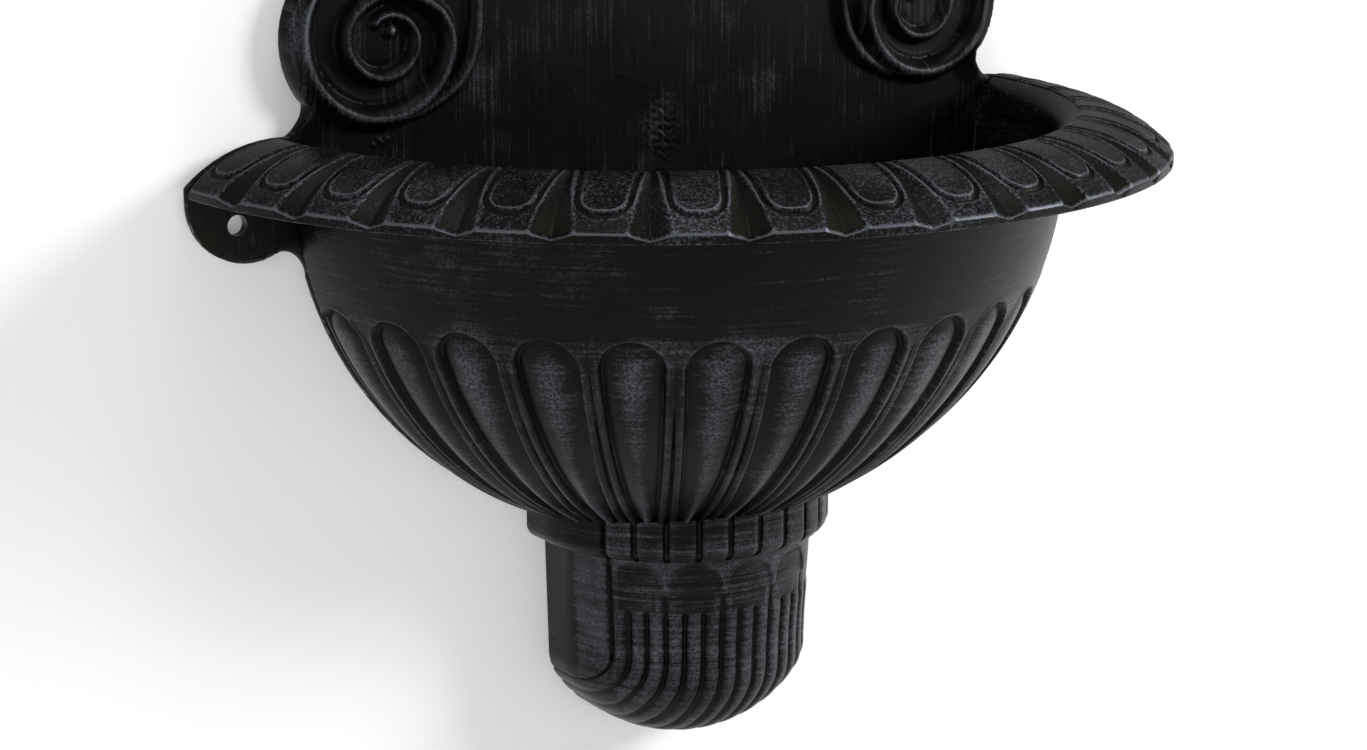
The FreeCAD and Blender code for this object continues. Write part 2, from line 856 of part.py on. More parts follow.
def pendant_body(off, back_end, top_z):
    # The half-round front and the straight stretch behind its axis, up to back_end.
    half = pendant_profile(off, top_z)
    front = face_of(half).revolve(V(0, 0, 0), V(0, 0, -1), 180)
    front.translate(V(0, -d_axis_y, 0))
    outline = half[:-1] + mirror(half[:-1])
    back = face_of(outline).extrude(V(0, back_end + d_axis_y, 0))
    back.translate(V(0, -d_axis_y, 0))
    return front.fuse(back).removeSplitter()


def make_pendant():
    shape = pendant_body(0.0, 0.0, collar_bottom_z)
    room = pendant_body(pendant_t, past, collar_bottom_z - pendant_top_t)
    shape = shape.cut(room)
    front = -d_axis_y - pendant_r
    for k in range(reed_grooves):
        cutter = box(-reed_groove_w / 2, reed_groove_w / 2, front - past, front + reed_groove_depth,
                     reed_low_z, reed_top_z)
        shape = shape.cut(around_pendant(reed_step * (k - (reed_grooves - 1) / 2), cutter))
    top_low = collar_bottom_z - pendant_top_t - past
    shape = shape.cut(cyl(drain_shank_r + drain_hole_gap, top_low, collar_bottom_z + past, 0, -drain_y))
    for x in both_sides(hang_x):
        shape = shape.cut(cyl(m6_r + m6_clear, top_low, collar_bottom_z + past, x, -hang_y))
    return shape.removeSplitter()


# The two hanging screws: seal on the basin floor, screw through it, washer and nut in the pendant.
hang_under = collar_bottom_z - pendant_top_t
hang_seal_top = floor_z + hang_seal_t
hang_nut_z = hang_under - washer6_t


def hang_screw(x):
    y = -hang_y
    shank = cyl(m6_r, hang_nut_z - nut6_h - screw_end, hang_seal_top, x, y)
    head_top = hang_seal_top + hang_head_h
    head = cyl(hang_head_r, hang_seal_top, head_top, x, y)
    socket = hex_z(m6_socket_af, head_top - m6_socket_depth, head_top + past, x, y)
    return shank.fuse(head).removeSplitter().cut(socket)


save("collar_ring", make_collar())
save("pendant", make_pendant())
save("pendant_screws", group([hang_screw(x) for x in both_sides(hang_x)]))
save("pendant_screw_seals", group([ring_z(hang_seal_r, m6_r, floor_z, hang_seal_top, x, -hang_y)
                                   for x in both_sides(hang_x)]))
save("pendant_washers", group([ring_z(washer6_r, m6_r + m6_clear, hang_nut_z, hang_under, x, -hang_y)
                               for x in both_sides(hang_x)]))
save("pendant_nuts", group([hex_z(nut6_af, hang_nut_z - nut6_h, hang_nut_z, x, -hang_y).cut(
    cyl(m6_r, hang_nut_z - nut6_h - past, hang_nut_z + past, x, -hang_y)) for x in both_sides(hang_x)]))

# The drain, from the basin floor down into the pendant and back to the wall.
gasket_z = floor_z - drain_recess
flange_z = gasket_z + gasket_t
flange_top = flange_z + drain_flange_t
shank_end = flange_z - drain_shank_l
locknut_top = hang_under - lower_washer_t
locknut_low = locknut_top - locknut_h
strainer_z = flange_z - strainer_drop
mouth_z = flange_z - mouth_drop
elbow_top = locknut_low - elbow_under
elbow_bend_z = elbow_top - elbow_socket_l - elbow_neck


def make_drain_flange():
    body = cyl(drain_flange_r, flange_z, flange_top, 0, -drain_y)
    body = body.fuse(cyl(drain_shank_r, shank_end, flange_z, 0, -drain_y)).removeSplitter()
    body = body.cut(cyl(drain_bore_r, shank_end - past, flange_top + past, 0, -drain_y))
    mouth = cyl(strainer_r, strainer_z, mouth_z, 0, -drain_y)
    mouth = mouth.fuse(cone(strainer_r, plug_top_r + mouth_gap, mouth_z, flange_top, 0, -drain_y))
    return body.cut(mouth)


def make_strainer():
    disc = cyl(strainer_r, strainer_z, strainer_z + strainer_t, 0, -drain_y)
    for ring_r, hole_r, count in zip(strainer_ring_r, strainer_hole_r, strainer_hole_count):
        for k in range(count):
            a = 2 * math.pi * k / count
            disc = disc.cut(cyl(hole_r, strainer_z - past, strainer_z + strainer_t + past,
                                ring_r * math.cos(a), ring_r * math.sin(a) - drain_y))
    return disc


def make_elbow():
    bottom = elbow_top - elbow_socket_l
    bend = V(0, -drain_y, elbow_bend_z)
    run = V(0, -drain_y + elbow_bend_r, elbow_bend_z - elbow_bend_r)

    def tube(r):
        down = cyl(r, elbow_bend_z, bottom + past, 0, -drain_y)
        disc = Part.Face(Part.Wire(Part.makeCircle(r, bend, V(0, 0, 1))))
        turn = disc.revolve(V(0, -drain_y + elbow_bend_r, elbow_bend_z), V(1, 0, 0), 90)
        back = Part.makeCylinder(r, -spigot_start - run.y, run, V(0, 1, 0))
        return down.fuse(turn).fuse(back)

    socket = cyl(elbow_socket_r, bottom, elbow_top, 0, -drain_y)
    spigot = Part.makeCylinder(spigot_r, elbow_out - run.y, run, V(0, 1, 0))
    body = tube(elbow_r).fuse(socket).fuse(spigot).removeSplitter()
    body = body.cut(cyl(drain_shank_r + elbow_gap, bottom + elbow_floor, elbow_top + past, 0, -drain_y))
    bore = tube(elbow_bore_r).fuse(cyl(elbow_bore_r, bottom, bottom + elbow_floor + past, 0, -drain_y))
    long_back = Part.makeCylinder(elbow_bore_r, elbow_out + past - run.y, run, V(0, 1, 0))
    return body.cut(bore.fuse(long_back)).removeSplitter()


plug_seat_z = flange_top
plug_low = plug_seat_z - plug_depth + plug_gap
plug_high = plug_low + plug_h


def make_plug():
    band_z = plug_high - plug_band
    body = cone(plug_foot_r, plug_top_r, plug_low, band_z, 0, -drain_y)
    body = body.fuse(cyl(plug_top_r, band_z, plug_high, 0, -drain_y)).removeSplitter()
    return body.cut(cyl(knob_stem_r, plug_high - knob_grip, plug_high + past, 0, -drain_y))


def make_knob():
    stem = cyl(knob_stem_r, plug_high - knob_grip, plug_high + knob_h, 0, -drain_y)
    foot = cyl(knob_foot_r, plug_high, plug_high + knob_foot_t, 0, -drain_y)
    ball = Part.makeSphere(knob_r, V(0, -drain_y, plug_high + knob_h))
    return stem.fuse(foot).fuse(ball).removeSplitter()


save("drain_flange", make_drain_flange())
save("drain_gasket", ring_z(drain_flange_r, drain_shank_r + gasket_gap, gasket_z, flange_z, 0, -drain_y))
save("drain_strainer", make_strainer())
save("drain_lower_washer", ring_z(lower_washer_r, drain_shank_r + gasket_gap, locknut_top, hang_under,
                                  0, -drain_y))
save("drain_locknut", hex_z(locknut_af, locknut_low, locknut_top, 0, -drain_y).cut(
    cyl(drain_shank_r, locknut_low - past, locknut_top + past, 0, -drain_y)))
save("drain_elbow", make_elbow())
save("drain_plug", make_plug())
save("plug_knob", make_knob())

# The tap, from the panel outwards.
boss_front = panel_front - medallion_t
rosette_front = boss_front - rosette_t
tap_nut_front = rosette_front - tap_nut_h
spout_end_y = -tap_chamber_y - spout_run - spout_bend_r
spout_end_z = tap_out_z - spout_bend_r - spout_drop


def chamber(r, z0, z1):
    return cyl(r, z0, z1, 0, -tap_chamber_y)


def spout_tube(r, extra):
    start = V(0, -tap_chamber_y, tap_out_z)
    bend = V(0, -tap_chamber_y - spout_run, tap_out_z)
    run = Part.makeCylinder(r, spout_run, start, V(0, -1, 0))
    disc = Part.Face(Part.Wire(Part.makeCircle(r, bend, V(0, 1, 0))))
    turn = disc.revolve(V(0, bend.y, tap_out_z - spout_bend_r), V(1, 0, 0), 90)
    drop = cyl(r, spout_end_z - extra, tap_out_z - spout_bend_r, 0, spout_end_y)
    return run.fuse(turn).fuse(drop)


def make_tap_body():
    foot_z = chamber_low_z + chamber_foot_h
    hex_front = tap_nut_front - tap_hex_l
    body = chamber(chamber_r, foot_z, chamber_top_z)
    body = body.fuse(cone(chamber_r - chamber_foot_in, chamber_r, chamber_low_z, foot_z, 0, -tap_chamber_y))
    body = body.fuse(rod_y(barrel_r, -tap_chamber_y, hex_front + tap_hex_past, 0, tap_z))
    body = body.fuse(hex_y(tap_hex_af, hex_front, tap_nut_front, 0, tap_z))
    body = body.fuse(rod_y(tap_shank_r, tap_nut_front - past, inlet_start, 0, tap_z))
    body = body.fuse(rod_y(inlet_thread_r, 0.0, inlet_out, 0, tap_z))
    body = body.fuse(spout_tube(spout_r, 0.0)).removeSplitter()
    body = body.cut(rod_y(tap_bore_r, -tap_chamber_y, inlet_out + past, 0, tap_z))
    body = body.cut(chamber(lower_bore_r, lower_floor_z, seat_z - seat_t))
    body = body.cut(chamber(seat_hole_r, seat_z - seat_t - past, seat_z + past))
    body = body.cut(chamber(chamber_bore_r, seat_z, chamber_top_z + past))
    return body.cut(spout_tube(tap_bore_r, past)).removeSplitter()


def make_rosette():
    edge_y = boss_front - rosette_edge_t
    disc = cone_y(rosette_r * rosette_front_share, rosette_r, rosette_front, edge_y, 0, tap_z)
    disc = disc.fuse(rod_y(rosette_r, edge_y, boss_front, 0, tap_z)).removeSplitter()
    return disc.cut(rod_y(tap_shank_r + tap_hole_gap, rosette_front - past, boss_front + past, 0, tap_z))


def make_nozzle():
    low = spout_end_z + nozzle_skirt - nozzle_h
    body = cyl(nozzle_r, low, spout_end_z + nozzle_skirt, 0, spout_end_y)
    body = body.cut(cyl(tap_bore_r, low - past, spout_end_z, 0, spout_end_y))
    return body.cut(cyl(spout_r + thread_gap, spout_end_z - nozzle_seal_t,
                        spout_end_z + nozzle_skirt + past, 0, spout_end_y))


# Heights in the screw-down valve
head_low = chamber_top_z - head_spigot_h
head_hex_z = chamber_top_z + head_seal_t
neck_z0 = head_hex_z + head_hex_h
neck_z1 = neck_z0 + head_neck_h
packing_z = neck_z1 - packing_depth
valve_low = seat_z + valve_rest_gap
carrier_z = valve_low + valve_washer_t
spindle_low = carrier_z + carrier_t + running_gap
thread_top = packing_z - thread_below
gland_z1 = neck_z1 + gland_lip
hub_z = gland_z1 + spindle_top
square_z1 = hub_z + square_h
hub_top = hub_z + hub_h


def make_headwork():
    body = chamber(chamber_bore_r - thread_gap, head_low, head_hex_z)
    body = body.fuse(hex_z(head_hex_af, head_hex_z, neck_z0, 0, -tap_chamber_y))
    body = body.fuse(chamber(head_neck_r, neck_z0, neck_z1)).removeSplitter()
    body = body.cut(chamber(spindle_thread_r + running_gap, head_low - past, packing_z))
    return body.cut(chamber(packing_r, packing_z, neck_z1 + past))


def make_gland_nut():
    body = hex_z(gland_af, gland_z1 - gland_h, gland_z1, 0, -tap_chamber_y)
    body = body.cut(chamber(head_neck_r + thread_gap, gland_z1 - gland_h - past, neck_z1))
    body = body.fuse(chamber(packing_r - thread_gap, packing_z + packing_h, neck_z1 + past))
    return body.cut(chamber(spindle_stem_r + 2 * running_gap, packing_z, gland_z1 + past))


def make_spindle():
    body = chamber(spindle_thread_r, spindle_low, thread_top)
    body = body.fuse(chamber(spindle_stem_r, thread_top, hub_z)).removeSplitter()
    half = square_w / 2
    body = body.fuse(box(-half, half, -tap_chamber_y - half, -tap_chamber_y + half, hub_z, square_z1))
    body = body.cut(chamber(carrier_stem_r + running_gap, spindle_low - past,
                            carrier_z + carrier_t + carrier_stem_l + past))
    screw_hole_z = hub_top - handle_screw_l - handle_hole_spare
    return body.cut(chamber(handle_screw_r + thread_gap, screw_hole_z, square_z1 + past))


def make_carrier():
    body = chamber(carrier_r, carrier_z, carrier_z + carrier_t)
    body = body.fuse(chamber(carrier_stem_r, carrier_z, carrier_z + carrier_t + carrier_stem_l))
    return body.fuse(chamber(carrier_stud_r, valve_low - washer_nut_h, carrier_z)).removeSplitter()


def make_handle():
    body = chamber(hub_r, hub_z, hub_top)
    mid = hub_z + hub_h / 2
    centre = V(0, -tap_chamber_y, mid)
    for k in range(arm_count):
        a = math.radians(arm_first + 360.0 * k / arm_count)
        way = V(math.cos(a), math.sin(a), 0)
        body = body.fuse(Part.makeCylinder(arm_r, arm_l, centre, way))
        body = body.fuse(Part.makeSphere(arm_ball_r, centre + way * arm_l))
    half = square_w / 2 + thread_gap
    body = body.cut(box(-half, half, -tap_chamber_y - half, -tap_chamber_y + half,
                        hub_z - past, square_z1 + square_gap))
    body = body.cut(chamber(handle_screw_r + 2 * thread_gap, hub_z, hub_top + past))
    return body.removeSplitter()


def make_handle_screw():
    shank = chamber(handle_screw_r, hub_top - handle_screw_l, hub_top)
    head_top = hub_top + handle_head_h
    head = chamber(handle_head_r, hub_top, head_top)
    slot = box(-handle_slot_w / 2, handle_slot_w / 2, -tap_chamber_y - handle_head_r,
               -tap_chamber_y + handle_head_r, head_top - handle_slot_depth, head_top + past)
    return shank.fuse(head).removeSplitter().cut(slot)


def ring_chamber(r_out, r_in, z0, z1):
    return ring_z(r_out, r_in, z0, z1, 0, -tap_chamber_y)


save("tap_body", make_tap_body())
save("tap_bush", ring_y(tap_shank_r + tap_hole_gap + bush_t, tap_shank_r + tap_hole_gap,
                        boss_front, 0.0, 0, tap_z))
save("tap_rosette", make_rosette())
save("tap_locknut", hex_y(tap_nut_af, tap_nut_front, rosette_front, 0, tap_z).cut(
    rod_y(tap_shank_r + thread_gap, tap_nut_front - past, rosette_front + past, 0, tap_z)))
save("spout_nozzle", make_nozzle())
save("nozzle_seal", ring_z(spout_r, tap_bore_r, spout_end_z - nozzle_seal_t, spout_end_z,
                           0, spout_end_y))
save("headwork", make_headwork())
save("headwork_seal", ring_chamber(chamber_r - head_seal_in, chamber_bore_r, chamber_top_z, head_hex_z))
save("gland_packing", ring_chamber(packing_r - thread_gap, spindle_stem_r + running_gap,
                                   packing_z, packing_z + packing_h))
save("gland_nut", make_gland_nut())
save("spindle", make_spindle())
save("valve_carrier", make_carrier())
save("valve_washer", ring_chamber(valve_washer_r, carrier_stud_r, valve_low, carrier_z))
save("washer_nut", ring_chamber(washer_nut_r, carrier_stud_r, valve_low - washer_nut_h, valve_low))
save("cross_handle", make_handle())
save("handle_screw", make_handle_screw())
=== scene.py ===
import bpy
import json
import math
import numpy as np
from mathutils import Matrix, Vector
from mathutils.geometry import delaunay_2d_cdt


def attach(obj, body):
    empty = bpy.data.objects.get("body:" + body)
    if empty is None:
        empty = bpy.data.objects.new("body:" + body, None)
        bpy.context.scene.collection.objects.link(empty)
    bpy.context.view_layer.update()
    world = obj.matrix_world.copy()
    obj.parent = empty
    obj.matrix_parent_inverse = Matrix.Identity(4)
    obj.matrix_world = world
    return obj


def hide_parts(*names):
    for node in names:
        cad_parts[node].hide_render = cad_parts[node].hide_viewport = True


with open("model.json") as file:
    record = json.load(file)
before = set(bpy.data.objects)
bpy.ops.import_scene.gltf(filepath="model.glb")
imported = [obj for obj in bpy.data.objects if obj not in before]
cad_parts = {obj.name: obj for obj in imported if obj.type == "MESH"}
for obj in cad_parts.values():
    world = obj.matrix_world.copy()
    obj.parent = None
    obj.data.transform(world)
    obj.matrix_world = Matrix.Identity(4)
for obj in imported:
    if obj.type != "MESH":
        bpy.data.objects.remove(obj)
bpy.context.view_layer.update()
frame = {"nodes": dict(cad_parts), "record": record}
nodes = frame["nodes"]

DEG = math.pi / 180.0
MM = 0.001

# Sizes shared with the castings, in millimetres. Z is 0 at the rim's inner crest, the wall is at Y 0.
# FACET keeps the rim's true circle inside the box of the solid's facets.
PANEL_T = 5.0
BASIN_BACK = 6.5
BOWL_R, BOWL_MID_Z = 175.0, -15.0
BOWL_DEPTH, SIDE_R = 168.0, 160.0
WALL_T = 5.0
FLOOR_Z, BASE_Z = -170.0, -180.0
CREST_R, RIM_R, RIM_DROP, EDGE_T = 179.6, 220.0, 16.5, 4.0
FACET = 0.04
LEAVES, TONGUE_R, TONGUE_CORNER = 19, 212.9, 7.8
FLUTE_PITCH, FLUTE_RIB, FLUTE_TOP_R, FLUTE_TOP_DROP = 12.0 * DEG, 3.3, 163.0, 68.6
FLANGE_TOP_Z, FLANGE_LOW_Z, FLANGE_W, FLANGE_T = -52.0, -164.9, 13.0, 5.0
BOSS_X, BOSS_Z, BOSS_R = 187.0, -14.5, 5.5
DRAIN_Y, DRAIN_HOLE_R = -36.0, 13.5
RECESS_Y, RECESS_R, RECESS_Z = -33.98, 18.9, -172.0
D_AXIS = 13.6
COLLAR_R, COLLAR_FOOT_R = 67.0, 61.5
COLLAR_TOP, COLLAR_LOW, COLLAR_FOOT = -166.0, -184.0, 6.2
BLOCK_PITCH, BLOCK_FIELD, SLOT_HALF, SLOT_DEPTH = 12.0, 60.0, 1.45, 1.9
PENDANT_R, PENDANT_LOW_R, TURN_Z = 58.2, 56.8, -235.0
PENDANT_DROP, PENDANT_CORNER, PENDANT_T, PENDANT_TOP_T = 41.0, 22.5, 4.5, 5.0
PENDANT_FULLER, PENDANT_ROWS = 1.6, 88
REED_STEP, REED_LINES = 8.2, 16
ARCH_Z, ARCH_FOOT_Z = -197.0, -212.0
VOLUTE = (136.4, 37.0)
SCROLL = (96.0, 292.0)
SHELL_ROOT_Z = 312.0
TAP_Z = 165.0
NARROWER = 1.7
COARSE, FINE = 3.0, 0.85


def step(a, b, x):
    t = np.clip((x - a) / (b - a), 0.0, 1.0)
    return t * t * (3.0 - 2.0 * t)


def bump(x, w):
    return np.exp(-(x / w) ** 2)


# ---------------------------------------------------------------- meshes

def dress(mesh, name, material, wear, flow, sharp):
    """Makes a mesh a piece of the fixed body, with its wear (partly painted highlights), its brushing
    direction and its finish.
    """
    layer = mesh.attributes.new("wear", "FLOAT", "POINT")
    layer.data.foreach_set("value", np.asarray(wear, np.float32))
    uv = mesh.uv_layers[0] if mesh.uv_layers else mesh.uv_layers.new(name="flow")
    uv.name = "flow"
    corner = np.empty(len(mesh.loops), np.int32)
    mesh.loops.foreach_get("vertex_index", corner)
    uv.data.foreach_set("uv", np.asarray(flow, np.float32)[corner].ravel())
    mesh.shade_smooth()
    mesh.set_sharp_from_angle(angle=sharp * DEG)
    mesh.materials.clear()
    mesh.materials.append(material)
    obj = bpy.data.objects.new(name, mesh)
    bpy.context.scene.collection.objects.link(obj)
    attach(obj, "fountain")
    return obj


def new_object(name, verts, faces, material, wear, flow, sharp):
    """A piece from points in millimetres and faces."""
    mesh = bpy.data.meshes.new(name)
    mesh.from_pydata(np.asarray(verts) * MM, [], faces)
    return dress(mesh, name, material, wear, flow, sharp)


class Shell:
    """Collects grids of points and loose faces for one piece."""

    def __init__(self):
        self.verts, self.wear, self.flow, self.faces, self.count = [], [], [], [], 0

    def add(self, points, wear, flow):
        base = self.count
        self.verts.append(points.reshape(-1, 3))
        self.wear.append(np.broadcast_to(wear, points.shape[:-1]).reshape(-1))
        self.flow.append(flow.reshape(-1, 2))
        self.count += len(self.verts[-1])
        return base

    def grid(self, points, wear, flow, loop=False):
        rows, cols = points.shape[:2]
        base = self.add(points, wear, flow)
        index = base + np.arange(rows * cols).reshape(rows, cols)
        if loop:
            index = np.vstack([index, index[:1]])
        a, b = index[:-1, :-1], index[:-1, 1:]
        c, d = index[1:, 1:], index[1:, :-1]
        self.faces += np.stack([a, b, c, d], -1).reshape(-1, 4).tolist()
        return index

    def cap(self, ring, flip):
        ring = [int(i) for i in ring]
        self.faces.append(ring[::-1] if flip else ring)

    def ends(self, index):
        """Closes the first and the last column of a looped grid, where it meets the wall."""
        self.cap(index[:-1, 0], False)
        self.cap(index[:-1, -1], True)
        return self

    def make(self, name, material, sharp=50.0):
        return new_object(name, np.vstack(self.verts), self.faces, material,
                          np.concatenate(self.wear), np.vstack(self.flow), sharp)


def oval(widest, top_z, depth, side_r):
    """Radius and height along the lower half of an oval made of two arcs, and the lower arc's centre."""
    across = widest - side_r
    foot_r = (across ** 2 + depth ** 2 - side_r ** 2) / (2.0 * (depth - side_r))
    foot_z = top_z - depth + foot_r
    span = math.hypot(across, foot_z - top_z)
    meet = (across / span, (top_z - foot_z) / span)
    return across, side_r, foot_r, foot_z, top_z, meet


def oval_points(shape, off, z0, z1, spacing):
    """Points from the height z0 down to z1, moved outwards by off."""
    across, side_r, foot_r, foot_z, top_z, meet = shape
    meet_z = foot_z + (foot_r + off) * meet[1]
    r1, r2 = side_r + off, foot_r + off
    points = []
    if z0 > meet_z:
        low = max(z1, meet_z)
        a0, a1 = math.asin((z0 - top_z) / r1), math.asin((low - top_z) / r1)
        for a in np.linspace(a0, a1, max(3, int(abs(a1 - a0) * r1 / spacing) + 1)):
            points.append((across + r1 * math.cos(a), top_z + r1 * math.sin(a)))
    if z1 < meet_z:
        high = min(z0, meet_z)
        a0, a1 = math.asin((high - foot_z) / r2), math.asin(max(-1.0, (z1 - foot_z) / r2))
        tail = [(r2 * math.cos(a), foot_z + r2 * math.sin(a))
                for a in np.linspace(a0, a1, max(3, int(abs(a1 - a0) * r2 / spacing) + 1))]
        points += tail[1:] if points else tail
    return points


def oval_z(shape, off, r):
    """Height of the flatter arc at a radius from the axis."""
    foot_r, foot_z = shape[2] + off, shape[3]
    return foot_z - np.sqrt(np.maximum(foot_r ** 2 - r ** 2, 0.0))


def arc3(a, m, b, n):
    """n points on the circle through a, m and b, from a to b."""
    (ax, ay), (mx, my), (bx, by) = a, m, b
    d = 2.0 * (ax * (my - by) + mx * (by - ay) + bx * (ay - my))
    ux = ((ax * ax + ay * ay) * (my - by) + (mx * mx + my * my) * (by - ay)
          + (bx * bx + by * by) * (ay - my)) / d
    uy = ((ax * ax + ay * ay) * (bx - mx) + (mx * mx + my * my) * (ax - bx)
          + (bx * bx + by * by) * (mx - ax)) / d
    r = math.hypot(ax - ux, ay - uy)
    t0, tm, t1 = (math.atan2(p[1] - uy, p[0] - ux) for p in (a, m, b))
    turn = (t1 - t0) % (2 * math.pi)
    if (tm - t0) % (2 * math.pi) > turn:
        turn -= 2 * math.pi
    return [(ux + r * math.cos(t0 + turn * k / (n - 1)), uy + r * math.sin(t0 + turn * k / (n - 1)))
            for k in range(n)]


def run_length(path):
    p = np.asarray(path)
    return np.concatenate([[0.0], np.cumsum(np.hypot(*np.diff(p, axis=0).T))])


def normals(path):
    """Unit normals of a section's path, to the left of its direction."""
    p = np.asarray(path)
    d = np.gradient(p, axis=0)
    d /= np.maximum(np.hypot(d[:, 0], d[:, 1]), 1e-9)[:, None]
    return np.stack([-d[:, 1], d[:, 0]], -1)


# ---------------------------------------------------------------- materials

class Nodes:
    """A small helper that writes a material's node tree."""

    def __init__(self, name):
        self.material = bpy.data.materials.new(name)
        self.material.use_nodes = True
        self.tree = self.material.node_tree
        self.shader = self.tree.nodes["Principled BSDF"]

    def node(self, kind, inputs=None, **settings):
        n = self.tree.nodes.new("ShaderNode" + kind)
        for key, value in settings.items():
            setattr(n, key, value)
        for key, value in (inputs or {}).items():
            self.put(n.inputs[key], value)
        return n

    def put(self, socket, value):
        if isinstance(value, bpy.types.NodeSocket):
            self.tree.links.new(value, socket)
        elif isinstance(value, bpy.types.Node):
            self.tree.links.new(value.outputs[0], socket)
        else:
            socket.default_value = value

    def math(self, op, a, b=0.0, clamp=False):
        n = self.node("Math", {0: a, 1: b}, operation=op)
        n.use_clamp = clamp
        return n.outputs[0]

    def add(self, a, b, clamp=False):
        return self.math("ADD", a, b, clamp)

    def times(self, a, b, clamp=False):
        return self.math("MULTIPLY", a, b, clamp)

    def blend(self, a, share_a, b, share_b):
        return self.add(self.times(a, share_a), self.times(b, share_b))

    def noise(self, vector, scale, detail, rough):
        return self.node("TexNoise", {"Scale": scale, "Detail": detail, "Roughness": rough,
                                      "Vector": vector}).outputs["Fac"]

    def ramp(self, value, stops):
        """A grey that runs between two stops of value and level."""
        n = self.node("ValToRGB", {"Fac": value})
        for e, (place, level) in zip(n.color_ramp.elements, stops):
            e.position = place
            e.color = (level, level, level, 1.0)
        return n.outputs["Color"]

    def mix(self, factor, a, b):
        n = self.node("Mix", data_type="RGBA")
        self.put(n.inputs["Factor"], factor)
        for socket, colour in ((6, a), (7, b)):
            self.put(n.inputs[socket], (*colour, 1.0) if isinstance(colour, tuple) else colour)
        return n.outputs[2]

    def map(self, vector, scale):
        return self.node("Mapping", {"Vector": vector, "Scale": scale}).outputs[0]

    def span(self, value, low, high):
        return self.node("MapRange", {"Value": value, "To Min": low, "To Max": high}).outputs[0]

    def bump(self, height, strength, distance):
        return self.node("Bump", {"Height": height, "Strength": strength, "Distance": distance}).outputs[0]

    def set(self, **values):
        for key, value in values.items():
            self.put(self.shader.inputs[key.replace("_", " ")], value)
        return self.material


def cast_material(name, streaks, speckle):
    """Black painted casting, rubbed over with pale blue-grey where it stands proud, olive in the hollows;
    the same pale blue-grey also paints highlights where the wear values carry them.

    streaks and speckle say how much the brushing and the casting's grain break up the rubbed paint."""
    n = Nodes(name)
    place = n.node("TexCoord").outputs["Object"]
    flow = n.node("UVMap", uv_map="flow").outputs[0]
    wear = n.node("Attribute", attribute_name="wear").outputs["Fac"]
    cloud = n.noise(place, 30.0, 5.0, 0.62)
    streak = n.noise(n.map(flow, (10.0, 520.0, 1.0)), 1.0, 4.0, 0.62)
    fine = n.noise(n.map(flow, (45.0, 1700.0, 1.0)), 1.0, 2.0, 0.6)
    speck = n.noise(place, 900.0, 3.0, 0.72)
    grain = n.noise(place, 1400.0, 2.0, 0.7)
    # the rubbed paint, and the painted highlights it also carries: wear, broken up by noise that is even on
    # the whole
    brush = n.blend(streak, 1.5, fine, 0.9)
    touch = n.add(n.blend(brush, streaks, cloud, 1.5), n.times(speck, speckle))
    even = 1.2 * streaks + 0.75 + 0.5 * speckle
    silver = n.add(n.math("SUBTRACT", wear, 0.26), n.math("SUBTRACT", touch, even), clamp=True)
    silver = n.times(silver, n.ramp(speck, [(0.41, 0.2 / (1.0 + speckle)), (0.58, 1.0)]), clamp=True)
    # near-full wear turns to bare pale metal: real rubbing, and the painted highlights on the rim's edge and
    # the volute's crests and eye
    bare_and_highlight = n.ramp(n.add(wear, n.times(cloud, 0.25)), [(0.88, 0.0), (1.0, 0.85)])
    silver = n.math("MAXIMUM", silver, bare_and_highlight)
    # the paint below it
    hollow = n.ramp(n.add(wear, n.times(n.math("SUBTRACT", cloud, 0.5), 0.4)), [(0.0, 1.0), (0.1, 0.0)])
    black = n.mix(cloud, (0.0012, 0.0012, 0.0015), (0.0034, 0.0034, 0.0037))
    olive = n.mix(cloud, (0.0034, 0.0032, 0.0022), (0.0092, 0.0085, 0.006))
    pale = n.mix(grain, (0.056, 0.062, 0.075), (0.162, 0.173, 0.197))
    n.set(Base_Color=n.mix(silver, n.mix(hollow, black, olive), pale), Metallic=n.span(silver, 0.0, 0.45),
          Roughness=n.span(n.blend(silver, 0.2, cloud, 0.8), 0.3, 0.5))
    n.shader.inputs["Specular Tint"].default_value = (1.0, 0.985, 0.9, 1.0)
    n.shader.inputs["Specular IOR Level"].default_value = 0.075
    relief = n.add(n.blend(grain, 0.4, brush, 0.35), n.times(speck, 0.6))
    n.set(Normal=n.bump(relief, 0.35, 0.0003))
    return n.material


def metal_material(name, pale, dark, rough_low, rough_high, streaks, scratch_scale):
    """Bare metal with tarnish in clouds and along hollow edges, and fine scratches."""
    n = Nodes(name)
    place = n.node("TexCoord").outputs["Object"]
    edge = n.ramp(n.node("NewGeometry").outputs["Pointiness"], [(0.44, 1.0), (0.5, 0.0)])
    cloud = n.noise(place, 70.0, 6.0, 0.62)
    spots = n.noise(place, 330.0, 3.0, 0.6)
    lines = n.noise(n.map(place, streaks), scratch_scale, 3.0, 0.6)
    tarnish = n.add(n.ramp(cloud, [(0.42, 0.0), (0.74, 0.85)]), n.times(edge, 0.8), clamp=True)
    n.set(Base_Color=n.mix(tarnish, pale, dark), Metallic=1.0,
          Roughness=n.span(n.blend(tarnish, 0.6, lines, 0.4), rough_low, rough_high),
          Normal=n.bump(n.blend(lines, 0.6, spots, 0.4), 0.22, 0.0002))
    return n.material


def matt_material(name, low, high, rough, grain_scale, strength):
    """A matt, evenly grained surface between two near colours."""
    n = Nodes(name)
    place = n.node("TexCoord").outputs["Object"]
    cloud = n.noise(place, 60.0, 5.0, 0.6)
    grain = n.noise(place, grain_scale, 3.0, 0.65)
    n.set(Base_Color=n.mix(n.blend(cloud, 0.6, grain, 0.4), low, high),
          Roughness=n.span(grain, rough - 0.08, rough + 0.08),
          Normal=n.bump(grain, strength, 0.0002))
    return n.material


